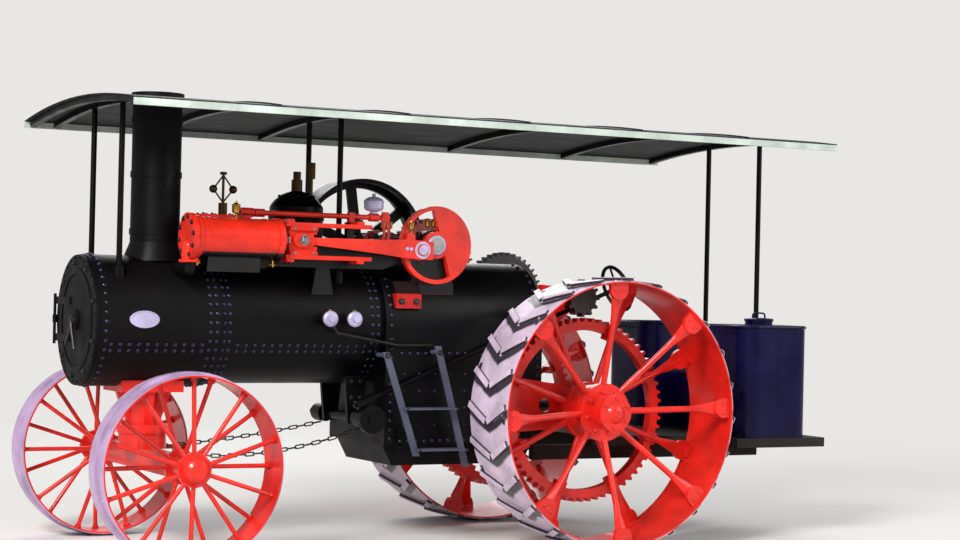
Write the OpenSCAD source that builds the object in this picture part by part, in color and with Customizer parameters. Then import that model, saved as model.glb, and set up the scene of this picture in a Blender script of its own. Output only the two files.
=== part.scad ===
// Steam traction engine with a side crank engine, a canopy and steel road wheels.
// Lengths in mm. X runs forward, Y to the left, Z up. Heights start at the ground.
// Inside road_frame() the X origin is the rear axle.

/* [Wheels] */
// Distance between the front and rear axles
wheelbase = 2695; // [2500:5:2900]
// Rear wheel radius over the lugs
rear_r = 838; // [750:1:900]
// Width of the rear tread
rear_w = 457; // [350:1:600]
// Outer face of the rear tread, from the centre plane
rear_out = 1060; // [950:5:1150]
// Height of the lugs on the rear tread
lug_h = 22; // [15:1:35]
// Lugs round each row of the rear tread
lug_n = 24; // [16:1:32]
// Slant of the lugs from the axle direction
lug_slant = 25; // [0:1:40]
// Front wheel radius over the guide rib
front_r = 543; // [480:1:600]
// Width of the front tread
front_w = 254; // [180:1:300]
// Outer face of the front tread, from the centre plane
front_out = 900; // [800:5:950]
// Thickness of the wheel rims
rim_t = 13; // [8:1:25]

/* [Boiler] */
// Height of the boiler's centre line
boiler_z = 1350; // [1250:5:1450]
// Radius of the barrel
boiler_r = 370; // [330:1:420]
// Half width of the firebox
firebox_r = 400; // [370:1:450]
// Radius of the smokebox wrapper
smokebox_r = 385; // [360:1:430]
// Firebox back plate, ahead of the rear axle
firebox_x0 = 200; // [100:5:300]
// Firebox front plate
firebox_x1 = 1300; // [1200:5:1400]
// Rear edge of the smokebox
smokebox_x0 = 2350; // [2250:5:2450]
// Front edge of the smokebox
smokebox_x1 = 3090; // [2950:5:3150]
// Centre of the chimney
stack_x = 2648; // [2600:1:2700]
// Outer radius of the chimney
stack_r = 146; // [110:1:170]
// Top of the chimney
stack_top = 2700; // [2600:5:2800]
// Centre of the steam dome
dome_x = 1740; // [1600:5:1900]

/* [Engine] */
// Plane of the connecting rod, from the centre plane
engine_y = 440; // [420:1:480]
// Crankshaft, ahead of the rear axle
crank_x = 970; // [900:5:1050]
// Height of the crankshaft and the cylinder axis
crank_z = 1848; // [1800:1:1900]
// Crank throw, half of the stroke
throw = 127; // [100:1:150]
// Length of the connecting rod between its eyes
rod_l = 800; // [700:5:900]
// Crank angle below the front dead centre in the stored pose
crank_a = 16; // [0:1:90]
// Radius of the crank disc
disc_r = 240; // [200:5:260]
// Radius of the crankshaft
shaft_r = 45; // [35:1:60]
// Outer radius of the flywheel
flywheel_r = 450; // [400:5:520]
// Width of the flywheel's belt face
flywheel_w = 230; // [150:5:300]

/* [Canopy] */
// Underside of the roof at its long edges
roof_z = 2570; // [2450:5:2700]
// Rise of the roof from its edges to the middle
roof_rise = 75; // [30:5:150]
// Half width of the roof
roof_half = 1058; // [900:5:1150]
// Front end of the roof, from the rear axle
roof_x1 = 3150; // [3000:5:3300]
// Rear end of the roof, from the rear axle
roof_x0 = -1600; // [-1700:5:-1400]

/* [Tanks] */
// Front face of the rear tanks
tank_x1 = -1060; // [-1150:5:-950]
// Rear face of the rear tanks
tank_x0 = -1590; // [-1700:5:-1500]
// Bottom of the tanks and top of the deck
deck_z = 660; // [600:5:700]
// Top of the tanks
tank_top = 1390; // [1300:5:1450]
// Outer face of the tanks
tank_out = 850; // [750:5:950]

/* [Hidden] */
$fn = 64;
// Face gap between neighbouring solids, and radial play of running fits
fit = 0.3;
run = 0.08;
// Clearance of pieces that move past each other
clear = 5;
// Packing between curved feet and the barrel they stand on
packing = 0.8;
tail_x = -1700;
nose_x = wheelbase + front_r;
rear_x = -(nose_x + tail_x) / 2;
rear_cy = rear_out - rear_w / 2;
front_cy = front_out - front_w / 2;
rim_r = rear_r - lug_h;
front_rib = 14;
axle_r = 50;
spoke_n = 16;
spoke_r = 19;
spoke_turn = 2.5;
ear_r = 62;
ear_y = rear_w / 2 - 34;
hub_r = 165;
hub_in = -198;
hub_out = -8;
neck_r = 100;
cap_r = 78;
// End of the rear axle inside the hubs
axle_end = rear_out - 100;
rear_z = rear_r;
front_z = front_r;
rear_in = rear_out - rear_w;
front_in = front_out - front_w;
// Bull gears, pinions and the train from the crankshaft to the countershaft
bull_n = 64;
bull_pr = 568;
pin_n = 12;
tooth = 24;
gear_w = 66;
bull_y0 = rear_in - 4 - gear_w;
pin_pr = bull_pr * pin_n / bull_n;
counter_d = bull_pr + pin_pr + tooth + clear;
counter_x = 20;
counter_z = rear_z + sqrt(counter_d * counter_d - counter_x * counter_x);
counter_r = 36;
train_y1 = -(firebox_r + 30);
train_y0 = train_y1 - 70;
train_d = sqrt(pow(crank_x - counter_x, 2) + pow(crank_z - counter_z, 2));
train_a = atan2(crank_z - counter_z, crank_x - counter_x);
cpin_n = 14;
cpin_pr = 98;
mid_n = 44;
mid_pr = cpin_pr * mid_n / cpin_n;
diff_pr = train_d - cpin_pr - 2 * mid_pr;
diff_n = round(diff_pr * cpin_n / cpin_pr);
mid_x = crank_x - (cpin_pr + mid_pr) * cos(train_a);
mid_z = crank_z - (cpin_pr + mid_pr) * sin(train_a);
// Crank, rod and crosshead in the stored pose
pin_x = crank_x + throw * cos(crank_a);
pin_z = crank_z - throw * sin(crank_a);
cross_x = pin_x + sqrt(rod_l * rod_l - pow(crank_z - pin_z, 2));
rod_t = 30;
// Crank pin: the rod's part starts clear of the shaft end and of the disc's own boss
pin_r = 36;
pin_in = 20;
pin_gap = 2;
shaft_y1 = engine_y - pin_in - pin_gap;
disc_y1 = engine_y - 36;
disc_t = 44;
guide_s = 24;
guide_top = 92;
guide_low = 101;
cross_half = 88;
cross_low = crank_z - guide_low + guide_s / 2 + 0.5;
cross_top = crank_z + guide_top - guide_s / 2 - 0.5;
cheek = rod_t / 2 + 12;
cyl_r = 125;
cyl_x0 = 2040;
cyl_x1 = 2580;
bed_y0 = 290;
yoke_x0 = 1500;
yoke_x1 = 1955;
yoke_w = 45;
bars_x1 = cyl_x0 - 34;
saddle_x0 = 2130;
saddle_x1 = 2460;
chest_top = 1985;
valve_y = 330;
valve_z = 2005;
valve_r = 16;
steam_z = 1940;
exhaust_x = 2590;
exhaust_z = 1660;
elbow_r = 46;
stack_foot_z = boiler_z + smokebox_r - 30;
bearing_half = 96;
bed_y1 = disc_y1 - disc_t - 12;
bed_foot_z = 1528;
bear_w = 80;
fly_y1 = -640;
fly_y0 = fly_y1 - flywheel_w;
arch_r = (roof_half * roof_half + roof_rise * roof_rise) / (2 * roof_rise);
arch_z = roof_z + roof_rise - arch_r;
roof_t = 6;
strip_h = 38;
post_r = 17;
post_foot = 36;
bow_h = 34;
bow_w = 40;
bows = [roof_x0 + 40, -800, 120, 1540, 2240, 2930, roof_x1 - 70];
// Smokebox door hinge
hinge_x = smokebox_x1 + 35;
hinge_y = -smokebox_r - 5;
hinge_r = 9;
// Steering gear under the barrel
roller_x = 1400;
roller_z = 780;
roller_y = 430;
column_a = 22;
worm_r = 29;
wheel_r = 86;
column_d = worm_r + wheel_r + clear;
worm_x = roller_x + column_d * sin(column_a);
worm_z = roller_z + column_d * cos(column_a);
column_l = 1915;
drum_r = 55;
chain_y = 300;
pivot_top = 690;

module road_frame() { translate([rear_x, 0, 0]) children(); }
module cyl_x(x0, x1, y, z, r) { translate([x0, y, z]) rotate([0, 90, 0]) cylinder(h = x1 - x0, r = r); }
module cyl_y(x, y0, y1, z, r) { translate([x, y0, z]) rotate([-90, 0, 0]) cylinder(h = y1 - y0, r = r); }
module cyl_z(x, y, z0, z1, r) { translate([x, y, z0]) cylinder(h = z1 - z0, r = r); }
module box(p, q) { translate(p) cube([q[0] - p[0], q[1] - p[1], q[2] - p[2]]); }
// Round bar from p to q
module bar(p, q, r) {
    d = q - p;
    l = norm(d);
    translate(p) rotate([0, acos(d[2] / l), atan2(d[1], d[0])]) cylinder(h = l, r = r);
}
// Bent pipe through a list of points, with a ball at each bend
module pipe(pts, r) {
    for (i = [1 : len(pts) - 1]) bar(pts[i - 1], pts[i], r);
    for (i = [1 : len(pts) - 2]) translate(pts[i]) sphere(r * 1.08);
}
// Profile in X and Z, extruded between two Y planes
module side_plate(pts, y0, y1) {
    translate([0, y1, 0]) rotate([90, 0, 0]) linear_extrude(y1 - y0) polygon(pts);
}
// Profile in Y and Z, extruded between two X planes
module cross_plate(pts, x0, x1) {
    translate([x0, 0, 0]) rotate([90, 0, 90]) linear_extrude(x1 - x0) polygon(pts);
}
module round_rect(x0, y0, x1, y1, r) {
    translate([x0 + r, y0]) square([x1 - x0 - 2 * r, y1 - y0]);
    translate([x0, y0 + r]) square([x1 - x0, y1 - y0 - 2 * r]);
    for (x = [x0 + r, x1 - r], y = [y0 + r, y1 - r]) translate([x, y]) circle(r);
}
// Spur gear on the Y axis, from y0 towards +Y
module spur(x, z, y0, w, n, pr, bore, turn) {
    translate([x, y0 + w, z]) rotate([90, 0, 0]) linear_extrude(w) difference() {
        union() {
            circle(pr - tooth / 2);
            for (i = [0 : n - 1]) rotate(turn + i * 360 / n)
                polygon([[pr - tooth / 2 - 3, -pr * 1.55 / n], [pr + tooth / 2, -pr * 0.85 / n],
                    [pr + tooth / 2, pr * 0.85 / n], [pr - tooth / 2 - 3, pr * 1.55 / n]]);
        }
        circle(bore);
    }
}

module boiler_barrel() color("#1b1b1e") road_frame() {
    cyl_x(firebox_x1, smokebox_x0, 0, boiler_z, boiler_r);
}

module firebox_shell() difference() {
    union() {
        cyl_x(firebox_x0, firebox_x1 - fit, 0, boiler_z, firebox_r);
        box([firebox_x0, -firebox_r, 620], [firebox_x1 - fit, firebox_r, boiler_z]);
    }
    // Mouth of the fire hole, behind the fire door
    box([firebox_x0 - 1, -150, 1040], [firebox_x0 + 260, 150, 1250]);
}

module ash_pan()
    side_plate([[firebox_x0 + 20, 621], [firebox_x1 - 20, 621], [firebox_x1 - 90, 490],
        [firebox_x0 + 90, 490]], -330, 330);

module firebox() color("#1b1b1e") road_frame() {
    firebox_shell();
    ash_pan();
}

module smokebox() color("#1b1b1e") road_frame() {
    difference() {
        cyl_x(smokebox_x0 + fit, smokebox_x1, 0, boiler_z, smokebox_r);
        cyl_x(smokebox_x0 + 60, smokebox_x1 + 1, 0, boiler_z, smokebox_r - 14);
    }
    // Knuckle that carries the hinge pin of the door
    difference() {
        union() {
            box([smokebox_x1 - 90, hinge_y - 12, boiler_z - 24], [hinge_x, hinge_y + 7, boiler_z + 24]);
            cyl_z(hinge_x, hinge_y, boiler_z - 24, boiler_z + 24, hinge_r + 4);
        }
        cyl_z(hinge_x, hinge_y, boiler_z - 30, boiler_z + 30, hinge_r + run);
        cyl_x(smokebox_x0, smokebox_x1 - 0.5, 0, boiler_z, smokebox_r - 1);
    }
}

module smokebox_door() color("#1b1b1e") road_frame() {
    difference() {
        cyl_x(smokebox_x1 + fit, smokebox_x1 + 24, 0, boiler_z, smokebox_r - 4);
        cyl_x(smokebox_x1 - 1, smokebox_x1 + 12, 0, boiler_z, smokebox_r - 22);
    }
    cyl_x(smokebox_x1 + 23, smokebox_x1 + 40, 0, boiler_z, 60);
    // Hinge straps and pin
    cyl_z(hinge_x, hinge_y, boiler_z - 150, boiler_z + 150, hinge_r);
    for (z = [-110, 110])
        box([smokebox_x1 + 23, hinge_y, boiler_z + z - 22], [smokebox_x1 + 33, -110, boiler_z + z + 22]);
}

module chimney() color("#1b1b1e") road_frame() difference() {
    union() {
        cyl_z(stack_x, 0, stack_foot_z, stack_top, stack_r);
        translate([stack_x, 0, stack_foot_z]) cylinder(h = 110, r1 = stack_r + 44, r2 = stack_r);
        cyl_z(stack_x, 0, stack_top - 40, stack_top, stack_r + 10);
    }
    cyl_z(stack_x, 0, boiler_z, stack_top + 1, stack_r - 12);
    cyl_x(stack_x - 300, stack_x + 300, 0, boiler_z, smokebox_r + fit);
}

module steam_dome() color("#1b1b1e") road_frame() difference() {
    translate([dome_x, 0, 0]) union() {
        cyl_z(0, 0, boiler_z + 300, 2060, 165);
        translate([0, 0, boiler_z + 300]) cylinder(h = boiler_r - 260, r1 = 210, r2 = 165);
        translate([0, 0, 2060]) intersection() {
            translate([0, 0, -80]) sphere(183);
            cyl_z(0, 0, -10, 200, 165);
        }
    }
    cyl_x(dome_x - 300, dome_x + 300, 0, boiler_z, boiler_r + fit);
}

module safety_valve() color("#b08d3c") road_frame() difference() {
    union() {
        cyl_z(dome_x, 0, 2155, 2230, 34);
        cyl_z(dome_x, 0, 2229, 2280, 24);
        cyl_z(dome_x - 90, 0, 2120, 2300, 16);
        cyl_z(dome_x - 90, 0, 2240, 2340, 30);
    }
    translate([dome_x, 0, 1980]) sphere(183 + fit);
}

module cylinder_body() {
    cyl_x(cyl_x0 + 20, cyl_x1 - 20, engine_y, crank_z, cyl_r - 9);
    cyl_x(cyl_x0, cyl_x0 + 34, engine_y, crank_z, cyl_r);
    cyl_x(cyl_x1 - 34, cyl_x1, engine_y, crank_z, cyl_r);
    cyl_x(cyl_x1 - 1, cyl_x1 + 30, engine_y, crank_z, cyl_r + 14);
    translate([cyl_x0 + 1, engine_y, crank_z]) rotate([0, -90, 0])
        cylinder(h = 32, r1 = cyl_r - 14, r2 = 52);
    cyl_x(cyl_x0 - 43, cyl_x0 + 1, engine_y, crank_z, 44);
    // Steam chest on the inner side
    box([2190, 262, crank_z - 60], [2500, engine_y - 60, chest_top]);
    cyl_x(2160, 2240, valve_y, valve_z, valve_r + 12);
    // Saddle down to the barrel
    cross_plate([[40, 1650], [engine_y - 60, 1650], [engine_y - 30, crank_z - 80], [engine_y - 60, crank_z],
        [262, crank_z], [180, 1760]], saddle_x0, saddle_x1);
    // Exhaust branch under the front end
    cyl_z(exhaust_x, engine_y, 1700, crank_z - 60, elbow_r);
    translate([exhaust_x, engine_y, crank_z - 60]) sphere(elbow_r);
    cyl_z(exhaust_x, engine_y, 1700, 1716, elbow_r + 16);
}

module cylinder_part() color("#a01818") road_frame() difference() {
    cylinder_body();
    cyl_x(cyl_x0 + 40, cyl_x1 - 40, engine_y, crank_z, cyl_r - 30);
    cyl_x(cyl_x0 - 50, cyl_x0 + 60, engine_y, crank_z, 19 + 0.5);
    cyl_x(2159, 2241, valve_y, valve_z, valve_r + 0.5);
    cyl_x(2000, 2600, 0, boiler_z, boiler_r + fit);
    cyl_x(smokebox_x0 - fit, 2600, 0, boiler_z, smokebox_r + fit);
}

module engine_bed() color("#a01818") road_frame() difference() {
    union() {
        // Guide bars, two above and two below the crosshead
        for (y = [engine_y - rod_t / 2 - clear - guide_s, engine_y + rod_t / 2 + clear],
            z = [guide_top, -guide_low])
            box([1450, y, crank_z + z - guide_s / 2], [bars_x1, y + guide_s, crank_z + z + guide_s / 2]);
        // Yokes across the guide bars
        for (x = [yoke_x0, yoke_x1]) {
            box([x, bed_y0, crank_z + guide_top + guide_s / 2 - 1],
                [x + yoke_w, engine_y + 44, crank_z + guide_top + guide_s / 2 + 18]);
            box([x, bed_y0, crank_z - guide_low - guide_s / 2 - 18],
                [x + yoke_w, engine_y + 44, crank_z - guide_low - guide_s / 2 + 1]);
            box([x, bed_y0, crank_z - guide_low - 20], [x + yoke_w, bed_y0 + 40, crank_z + guide_top + 20]);
        }
        // Girder along the inner side, back to the main bearing
        side_plate([[crank_x + bearing_half + fit, 1784], [crank_x + bearing_half + fit, 1900],
            [1300, 1880], [saddle_x0 - fit, 1800], [saddle_x0 - fit, 1690], [1300, 1690]],
            bed_y0, bed_y1 - 14);
        // Foot on the barrel
        side_plate([[1628, bed_foot_z], [1772, bed_foot_z], [1740, 1700], [1660, 1700]], bed_y0, bed_y0 + 40);
    }
    cyl_x(firebox_x1 + 100, smokebox_x0, 0, boiler_z, boiler_r + packing);
    cyl_x(cyl_x0 - 34, saddle_x0 + 1, engine_y, crank_z, cyl_r + fit);
}

module crosshead() color("#7d7f83") road_frame() {
    crosshead_block();
    crosshead_pin();
}

module crosshead_block() difference() {
    union() {
        box([cross_x - cross_half, engine_y - rod_t / 2 - clear - guide_s, cross_low],
            [cross_x + cross_half, engine_y + rod_t / 2 + clear + guide_s, cross_top]);
        cyl_x(cross_x + cross_half - 1, cross_x + cross_half + 2 * throw + 70, engine_y, crank_z, 19);
    }
    // Slot for the rod's small end
    box([cross_x - cross_half - 1, engine_y - rod_t / 2 - 2, crank_z - 200],
        [cross_x + 62, engine_y + rod_t / 2 + 2, crank_z + 200]);
    // Sides cut away round an oval boss, so that slim webs carry the slippers
    for (s = [-1, 1]) difference() {
        box([cross_x - cross_half - 1, s > 0 ? engine_y + cheek : engine_y - 60, cross_low + 22],
            [cross_x + cross_half + 1, s > 0 ? engine_y + 60 : engine_y - cheek, cross_top - 22]);
        for (x = [-26, 26]) cyl_y(cross_x + x, engine_y - 70, engine_y + 70, crank_z, 42);
        box([cross_x - 26, engine_y - 70, crank_z - 42], [cross_x + 26, engine_y + 70, crank_z + 42]);
    }
    // Waist behind the pin
    for (s = [-1, 1]) box([cross_x - cross_half - 1, engine_y + s * 60 - 43, crank_z - 36],
        [cross_x - 68, engine_y + s * 60 + 43, crank_z + 36]);
}

module connecting_rod() color("#9b1717") road_frame() {
    a = asin((crank_z - pin_z) / rod_l);
    difference() {
        translate([pin_x, engine_y, pin_z]) rotate([0, -a, 0]) {
            cyl_y(0, -rod_t / 2, rod_t / 2, 0, 58);
            side_plate([[-74, -56], [120, -56], [300, -42], [rod_l - 40, -20], [rod_l, -20], [rod_l, 20],
                [rod_l - 40, 20], [300, 42], [120, 56], [-74, 56]], -rod_t / 2, rod_t / 2);
            cyl_y(rod_l, -rod_t / 2, rod_t / 2, 0, 42);
            cyl_y(0, -pin_in, 26, 0, pin_r);
            side_plate([[50, 50], [108, 50], [100, 98], [60, 98]], -12, 12);
        }
        cyl_y(cross_x, engine_y - 60, engine_y + 60, crank_z, 22 + run);
    }
}

module crosshead_pin() { cyl_y(cross_x, engine_y - 40, engine_y + 40, crank_z, 22); }

module crank_disc() color("#9b1717") road_frame() {
    difference() {
        cyl_y(crank_x, disc_y1 - disc_t, disc_y1, crank_z, disc_r);
        // Crescents on both sides of the web, leaving a rim and the counterweight
        translate([crank_x, disc_y1 - disc_t - 1, crank_z]) rotate([0, crank_a, 0]) difference() {
            cyl_y(0, 0, disc_t + 2, 0, disc_r - 26);
            box([-disc_r, -1, -disc_r], [-40, disc_t + 3, disc_r]);
            cyl_y(0, -1, disc_t + 3, 0, 84);
            cyl_y(throw, -1, disc_t + 3, 0, 62);
            box([0, -1, -40], [disc_r, disc_t + 3, 40]);
        }
        cyl_y(crank_x, disc_y1 - disc_t - 1, disc_y1 + 1, crank_z, shaft_r + fit);
    }
    // Boss behind the crank pin
    translate([crank_x, 0, crank_z]) rotate([0, crank_a, 0])
        cyl_y(throw, disc_y1 - 10, shaft_y1, 0, pin_r);
}

module crankshaft() color("#8a8c90") road_frame() {
    cyl_y(crank_x, fly_y0 - 30, shaft_y1, crank_z, shaft_r);
}

module flywheel() color("#9b1717") road_frame() {
    mid = (fly_y0 + fly_y1) / 2;
    difference() {
        union() {
            difference() {
                cyl_y(crank_x, fly_y0, fly_y1, crank_z, flywheel_r);
                cyl_y(crank_x, fly_y0 - 1, fly_y1 + 1, crank_z, flywheel_r - 26);
            }
            difference() {
                cyl_y(crank_x, mid - 16, mid + 16, crank_z, flywheel_r - 13);
                cyl_y(crank_x, mid - 17, mid + 17, crank_z, flywheel_r - 60);
            }
            cyl_y(crank_x, fly_y0 + 30, fly_y1 - 10, crank_z, 92);
            for (i = [0 : 5]) translate([crank_x, mid, crank_z]) rotate([0, i * 60 + 8, 0])
                box([-34, -14, 60], [34, 14, flywheel_r - 50]);
        }
        cyl_y(crank_x, fly_y0 - 1, fly_y1 + 1, crank_z, shaft_r + fit);
    }
}

module bearing(y0, y1) difference() {
    union() {
        // Pedestal, tapered towards the shaft
        side_plate([[crank_x - 150, 1500], [crank_x + 150, 1500], [crank_x + 150, 1600],
            [crank_x + bearing_half, crank_z - 70], [crank_x + bearing_half, crank_z + 6],
            [crank_x - bearing_half, crank_z + 6], [crank_x - bearing_half, crank_z - 70],
                [crank_x - 150, 1600]], y0, y1);
        cyl_y(crank_x, y0, y1, crank_z, bearing_half - 4);
        for (x = [-78, 78]) cyl_z(crank_x + x, (y0 + y1) / 2, crank_z - 20, crank_z + 62, 15);
        // Foot pad on the flank of the firebox
        cross_plate([[y0, 1620], [y1, 1620], [410, 1540], [410, 1455], [340, 1455], [y0, 1500]],
            crank_x + 100, crank_x + 270);
    }
    cyl_y(crank_x, y0 - 1, y1 + 1, crank_z, shaft_r + run);
    cyl_x(firebox_x0, firebox_x1 + 100, 0, boiler_z, firebox_r + fit);
}

module main_bearings() color("#8f1616") road_frame() {
    bearing(bed_y0 - 20, bed_y0 - 20 + bear_w);
    mirror([0, 1, 0]) bearing(bed_y0 - 20, bed_y0 - 20 + bear_w);
}

module valve_gear() color("#9b1717") road_frame() {
    // Valve rod along the top with its guide on the yoke
    cyl_x(1270, 2161, valve_y, valve_z, valve_r);
    for (x = [1340, 2090]) cyl_x(x, x + 60, valve_y, valve_z, valve_r + 9);
    box([yoke_x0 + 5, valve_y - 18, crank_z + guide_top + guide_s / 2 + 18 + fit],
        [yoke_x0 + 40, valve_y + 18, valve_z + 25]);
    // Slotted link behind the connecting rod, and the rod back to the crankshaft
    difference() {
        side_plate([[1278, 2040], [1322, 2040], [1308, 1915], [1322, 1790], [1278, 1790], [1264, 1915]],
            valve_y + 8, valve_y + 22);
        side_plate([[1292, 1980], [1308, 1980], [1294, 1915], [1308, 1840], [1292, 1840], [1278, 1915]],
            valve_y + 7, valve_y + 23);
    }
    cyl_y(1298, valve_y - 10, valve_y + 30, valve_z, 26);
    bar([1300, valve_y + 15, 1812], [crank_x + 116, valve_y + 15, 1846], 8);
    cyl_y(1300, valve_y + 6, valve_y + 30, 1812, 22);
}

module governor() color("#8a8c90") road_frame() translate([2345, 316, chest_top]) {
    cyl_z(0, 0, fit, 70, 26);
    cyl_z(0, 0, 69, 240, 8);
    cyl_z(0, 0, 235, 252, 20);
    for (s = [-1, 1]) {
        translate([s * 62, 0, 150]) sphere(24);
        bar([0, 0, 232], [s * 62, 0, 150], 5);
        bar([0, 0, 72], [s * 62, 0, 150], 5);
    }
}

module steam_pipe() color("#2a2a2e") road_frame() {
    // From the dome forward, then across to the steam chest
    difference() {
        cyl_x(dome_x + 100, 2330, 90, steam_z, 28);
        cyl_z(dome_x, 0, 1800, 2100, 165 + fit);
    }
    translate([2330, 90, steam_z]) sphere(31);
    cyl_y(2330, 90, 262 - fit, steam_z, 28);
    // Exhaust pipe down and into the smokebox
    difference() {
        union() {
            cyl_z(exhaust_x, engine_y, exhaust_z, 1700 - fit, 38);
            translate([exhaust_x, engine_y, exhaust_z]) sphere(38);
            cyl_y(exhaust_x, 180, engine_y, exhaust_z, 38);
        }
        cyl_x(smokebox_x0 - 10, smokebox_x1, 0, boiler_z, smokebox_r + fit);
    }
}

module check_valves() color("#b08d3c") road_frame() difference() {
    union() {
        for (x = [1530, 1690]) {
            cyl_y(x, 342, 420, 1385, 18);
            translate([x, 425, 1385]) sphere(28);
            cyl_z(x, 425, 1390, 1440, 12);
        }
        pipe([[1690, 425, 1380], [1640, 425, 1300], [firebox_x1 - 60, 428, 1230],
            [firebox_x1 - 300, 428, 1230]], 11);
    }
    cyl_x(firebox_x1, smokebox_x0, 0, boiler_z, boiler_r + fit);
}

module crank_pinion()
    spur(crank_x, crank_z, train_y0, train_y1 - train_y0, cpin_n, cpin_pr, shaft_r + clear, train_a);

module intermediate_gear() {
    difference() {
        spur(mid_x, mid_z, train_y0, train_y1 - train_y0, mid_n, mid_pr, 30, train_a + 180 / mid_n);
        for (s = [-1, 1]) difference() {
            cyl_y(mid_x, (train_y0 + train_y1) / 2 + s * 40 - 22,
                (train_y0 + train_y1) / 2 + s * 40 + 22, mid_z, mid_pr - 60);
            cyl_y(mid_x, train_y0 - 40, train_y1 + 40, mid_z, 80);
        }
    }
    cyl_y(mid_x, train_y0 - 10, train_y1 + 10, mid_z, 30);
    // Bracket to the firebox shoulder
    difference() {
        side_plate([[mid_x - 60, mid_z + 60], [mid_x + 60, mid_z + 60], [mid_x + 120, 1420],
            [mid_x - 120, 1420]], -firebox_r - 22, -firebox_r + 190);
        cyl_x(firebox_x0, firebox_x1, 0, boiler_z, firebox_r + fit);
    }
}

module gear_train() color("#8f1616") road_frame() {
    crank_pinion();
    intermediate_gear();
}

module countershaft() color("#6c6e72") road_frame() {
    cyl_y(counter_x, -rear_in + 2, rear_in - 2, counter_z, counter_r);
    for (y = [bull_y0, -bull_y0 - gear_w])
        spur(counter_x, counter_z, y, gear_w, pin_n, pin_pr, counter_r - 1, 0);
    difference() {
        spur(counter_x, counter_z, train_y0, train_y1 - train_y0, diff_n, diff_pr, counter_r - 1, train_a);
        for (s = [-1, 1]) difference() {
            cyl_y(counter_x, (train_y0 + train_y1) / 2 + s * 40 - 22,
                (train_y0 + train_y1) / 2 + s * 40 + 22, counter_z, diff_pr - 60);
            cyl_y(counter_x, train_y0 - 40, train_y1 + 40, counter_z, 110);
        }
    }
}

module countershaft_brackets() for (s = [-1, 1]) difference() {
    union() {
        side_plate([[counter_x - 70, counter_z - 60], [counter_x - 70, counter_z + 60],
            [firebox_x0 + 2 * fit, counter_z + 80],
            [firebox_x0 - fit, 1380], [firebox_x0 - fit, 1300]], s > 0 ? 330 : -390, s > 0 ? 390 : -330);
    }
    cyl_y(counter_x, -500, 500, counter_z, counter_r + fit);
    box([firebox_x0 - fit, -500, 1000], [firebox_x0 + 200, 500, 2000]);
}

module rear_axle() color("#6c6e72") road_frame() cyl_y(0, -axle_end, axle_end, rear_z, axle_r);

module axle_boxes() for (s = [0, 1]) mirror([0, s, 0]) difference() {
    union() {
        // Web from the firebox back to the axle, with a window
        difference() {
            side_plate([[-70, rear_z - 95], [0, rear_z - 120], [firebox_x0 + 240, rear_z - 150],
                [firebox_x0 + 240, rear_z + 200], [60, rear_z + 150], [-70, rear_z + 95]],
                firebox_r + fit, firebox_r + 34);
            cyl_y(190, firebox_r, firebox_r + 40, rear_z + 20, 44);
        }
        cyl_y(0, firebox_r + fit, bull_y0 - 10, rear_z, 112);
        cyl_y(0, bull_y0 - 40, bull_y0 - 10, rear_z, 126);
        box([firebox_x0 + 190, firebox_r + fit, rear_z - 170],
            [firebox_x0 + 260, firebox_r + 70, rear_z + 215]);
        box([20, firebox_r + fit, rear_z - 64], [firebox_x0 + 200, firebox_r + 70, rear_z - 48]);
    }
    cyl_y(0, 0, 700, rear_z, axle_r + fit);
}

module axle_brackets() color("#8f1616") road_frame() {
    countershaft_brackets();
    axle_boxes();
}

// Rear wheel with its centre at the origin and its outer face towards +Y
module rear_wheel() {
    difference() {
        union() {
            cyl_y(0, -rear_w / 2, rear_w / 2, 0, rim_r);
            intersection() {
                cyl_y(0, -rear_w / 2, rear_w / 2, 0, rear_r);
                for (i = [0 : lug_n - 1], s = [-1, 1])
                    rotate([0, i * 360 / lug_n, 0]) translate([0, s * rear_w / 4, rim_r + lug_h / 2])
                        rotate([0, 0, s * lug_slant]) cube([38, 226, lug_h + 16], center = true);
            }
        }
        cyl_y(0, -rear_w / 2 - 1, rear_w / 2 + 1, 0, rim_r - rim_t);
    }
    // Spokes in two rows, each with a rounded ear inside the rim
    for (i = [0 : spoke_n - 1]) {
        s = (i % 2 == 0) ? 1 : -1;
        rotate([0, i * 360 / spoke_n + spoke_turn, 0]) {
            bar([0, s > 0 ? hub_out : hub_in, hub_r - 25], [0, s * ear_y, rim_r - 50], spoke_r);
            cyl_y(0, s * ear_y - 15, s * ear_y + 15, rim_r - rim_t - 44, ear_r);
            box([-ear_r, s * ear_y - 15, rim_r - rim_t - 44], [ear_r, s * ear_y + 15, rim_r - rim_t + 2]);
            box([-36, s * (ear_y - 20) - 40, rim_r - rim_t - 14],
                [36, s * (ear_y - 20) + 40, rim_r - rim_t + 4]);
        }
    }
    difference() {
        union() {
            cyl_y(0, -225, 20, 0, hub_r);
            for (y = [hub_in, hub_out]) cyl_y(0, y - 24, y + 24, 0, hub_r + 14);
            cyl_y(0, 15, 130, 0, neck_r);
            cyl_y(0, 112, 142, 0, neck_r + 12);
            translate([0, 98, 0]) intersection() {
                sphere(cap_r);
                cyl_y(0, 20, cap_r - 3, 0, cap_r);
            }
        }
        cyl_y(0, -240, axle_end - rear_cy + 4, 0, axle_r + run);
    }
}

module rear_wheel_left() color("#a01818") road_frame() translate([0, rear_cy, rear_z]) rear_wheel();
module rear_wheel_right() color("#a01818") road_frame() mirror([0, 1, 0])
    translate([0, rear_cy, rear_z]) rear_wheel();

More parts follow.
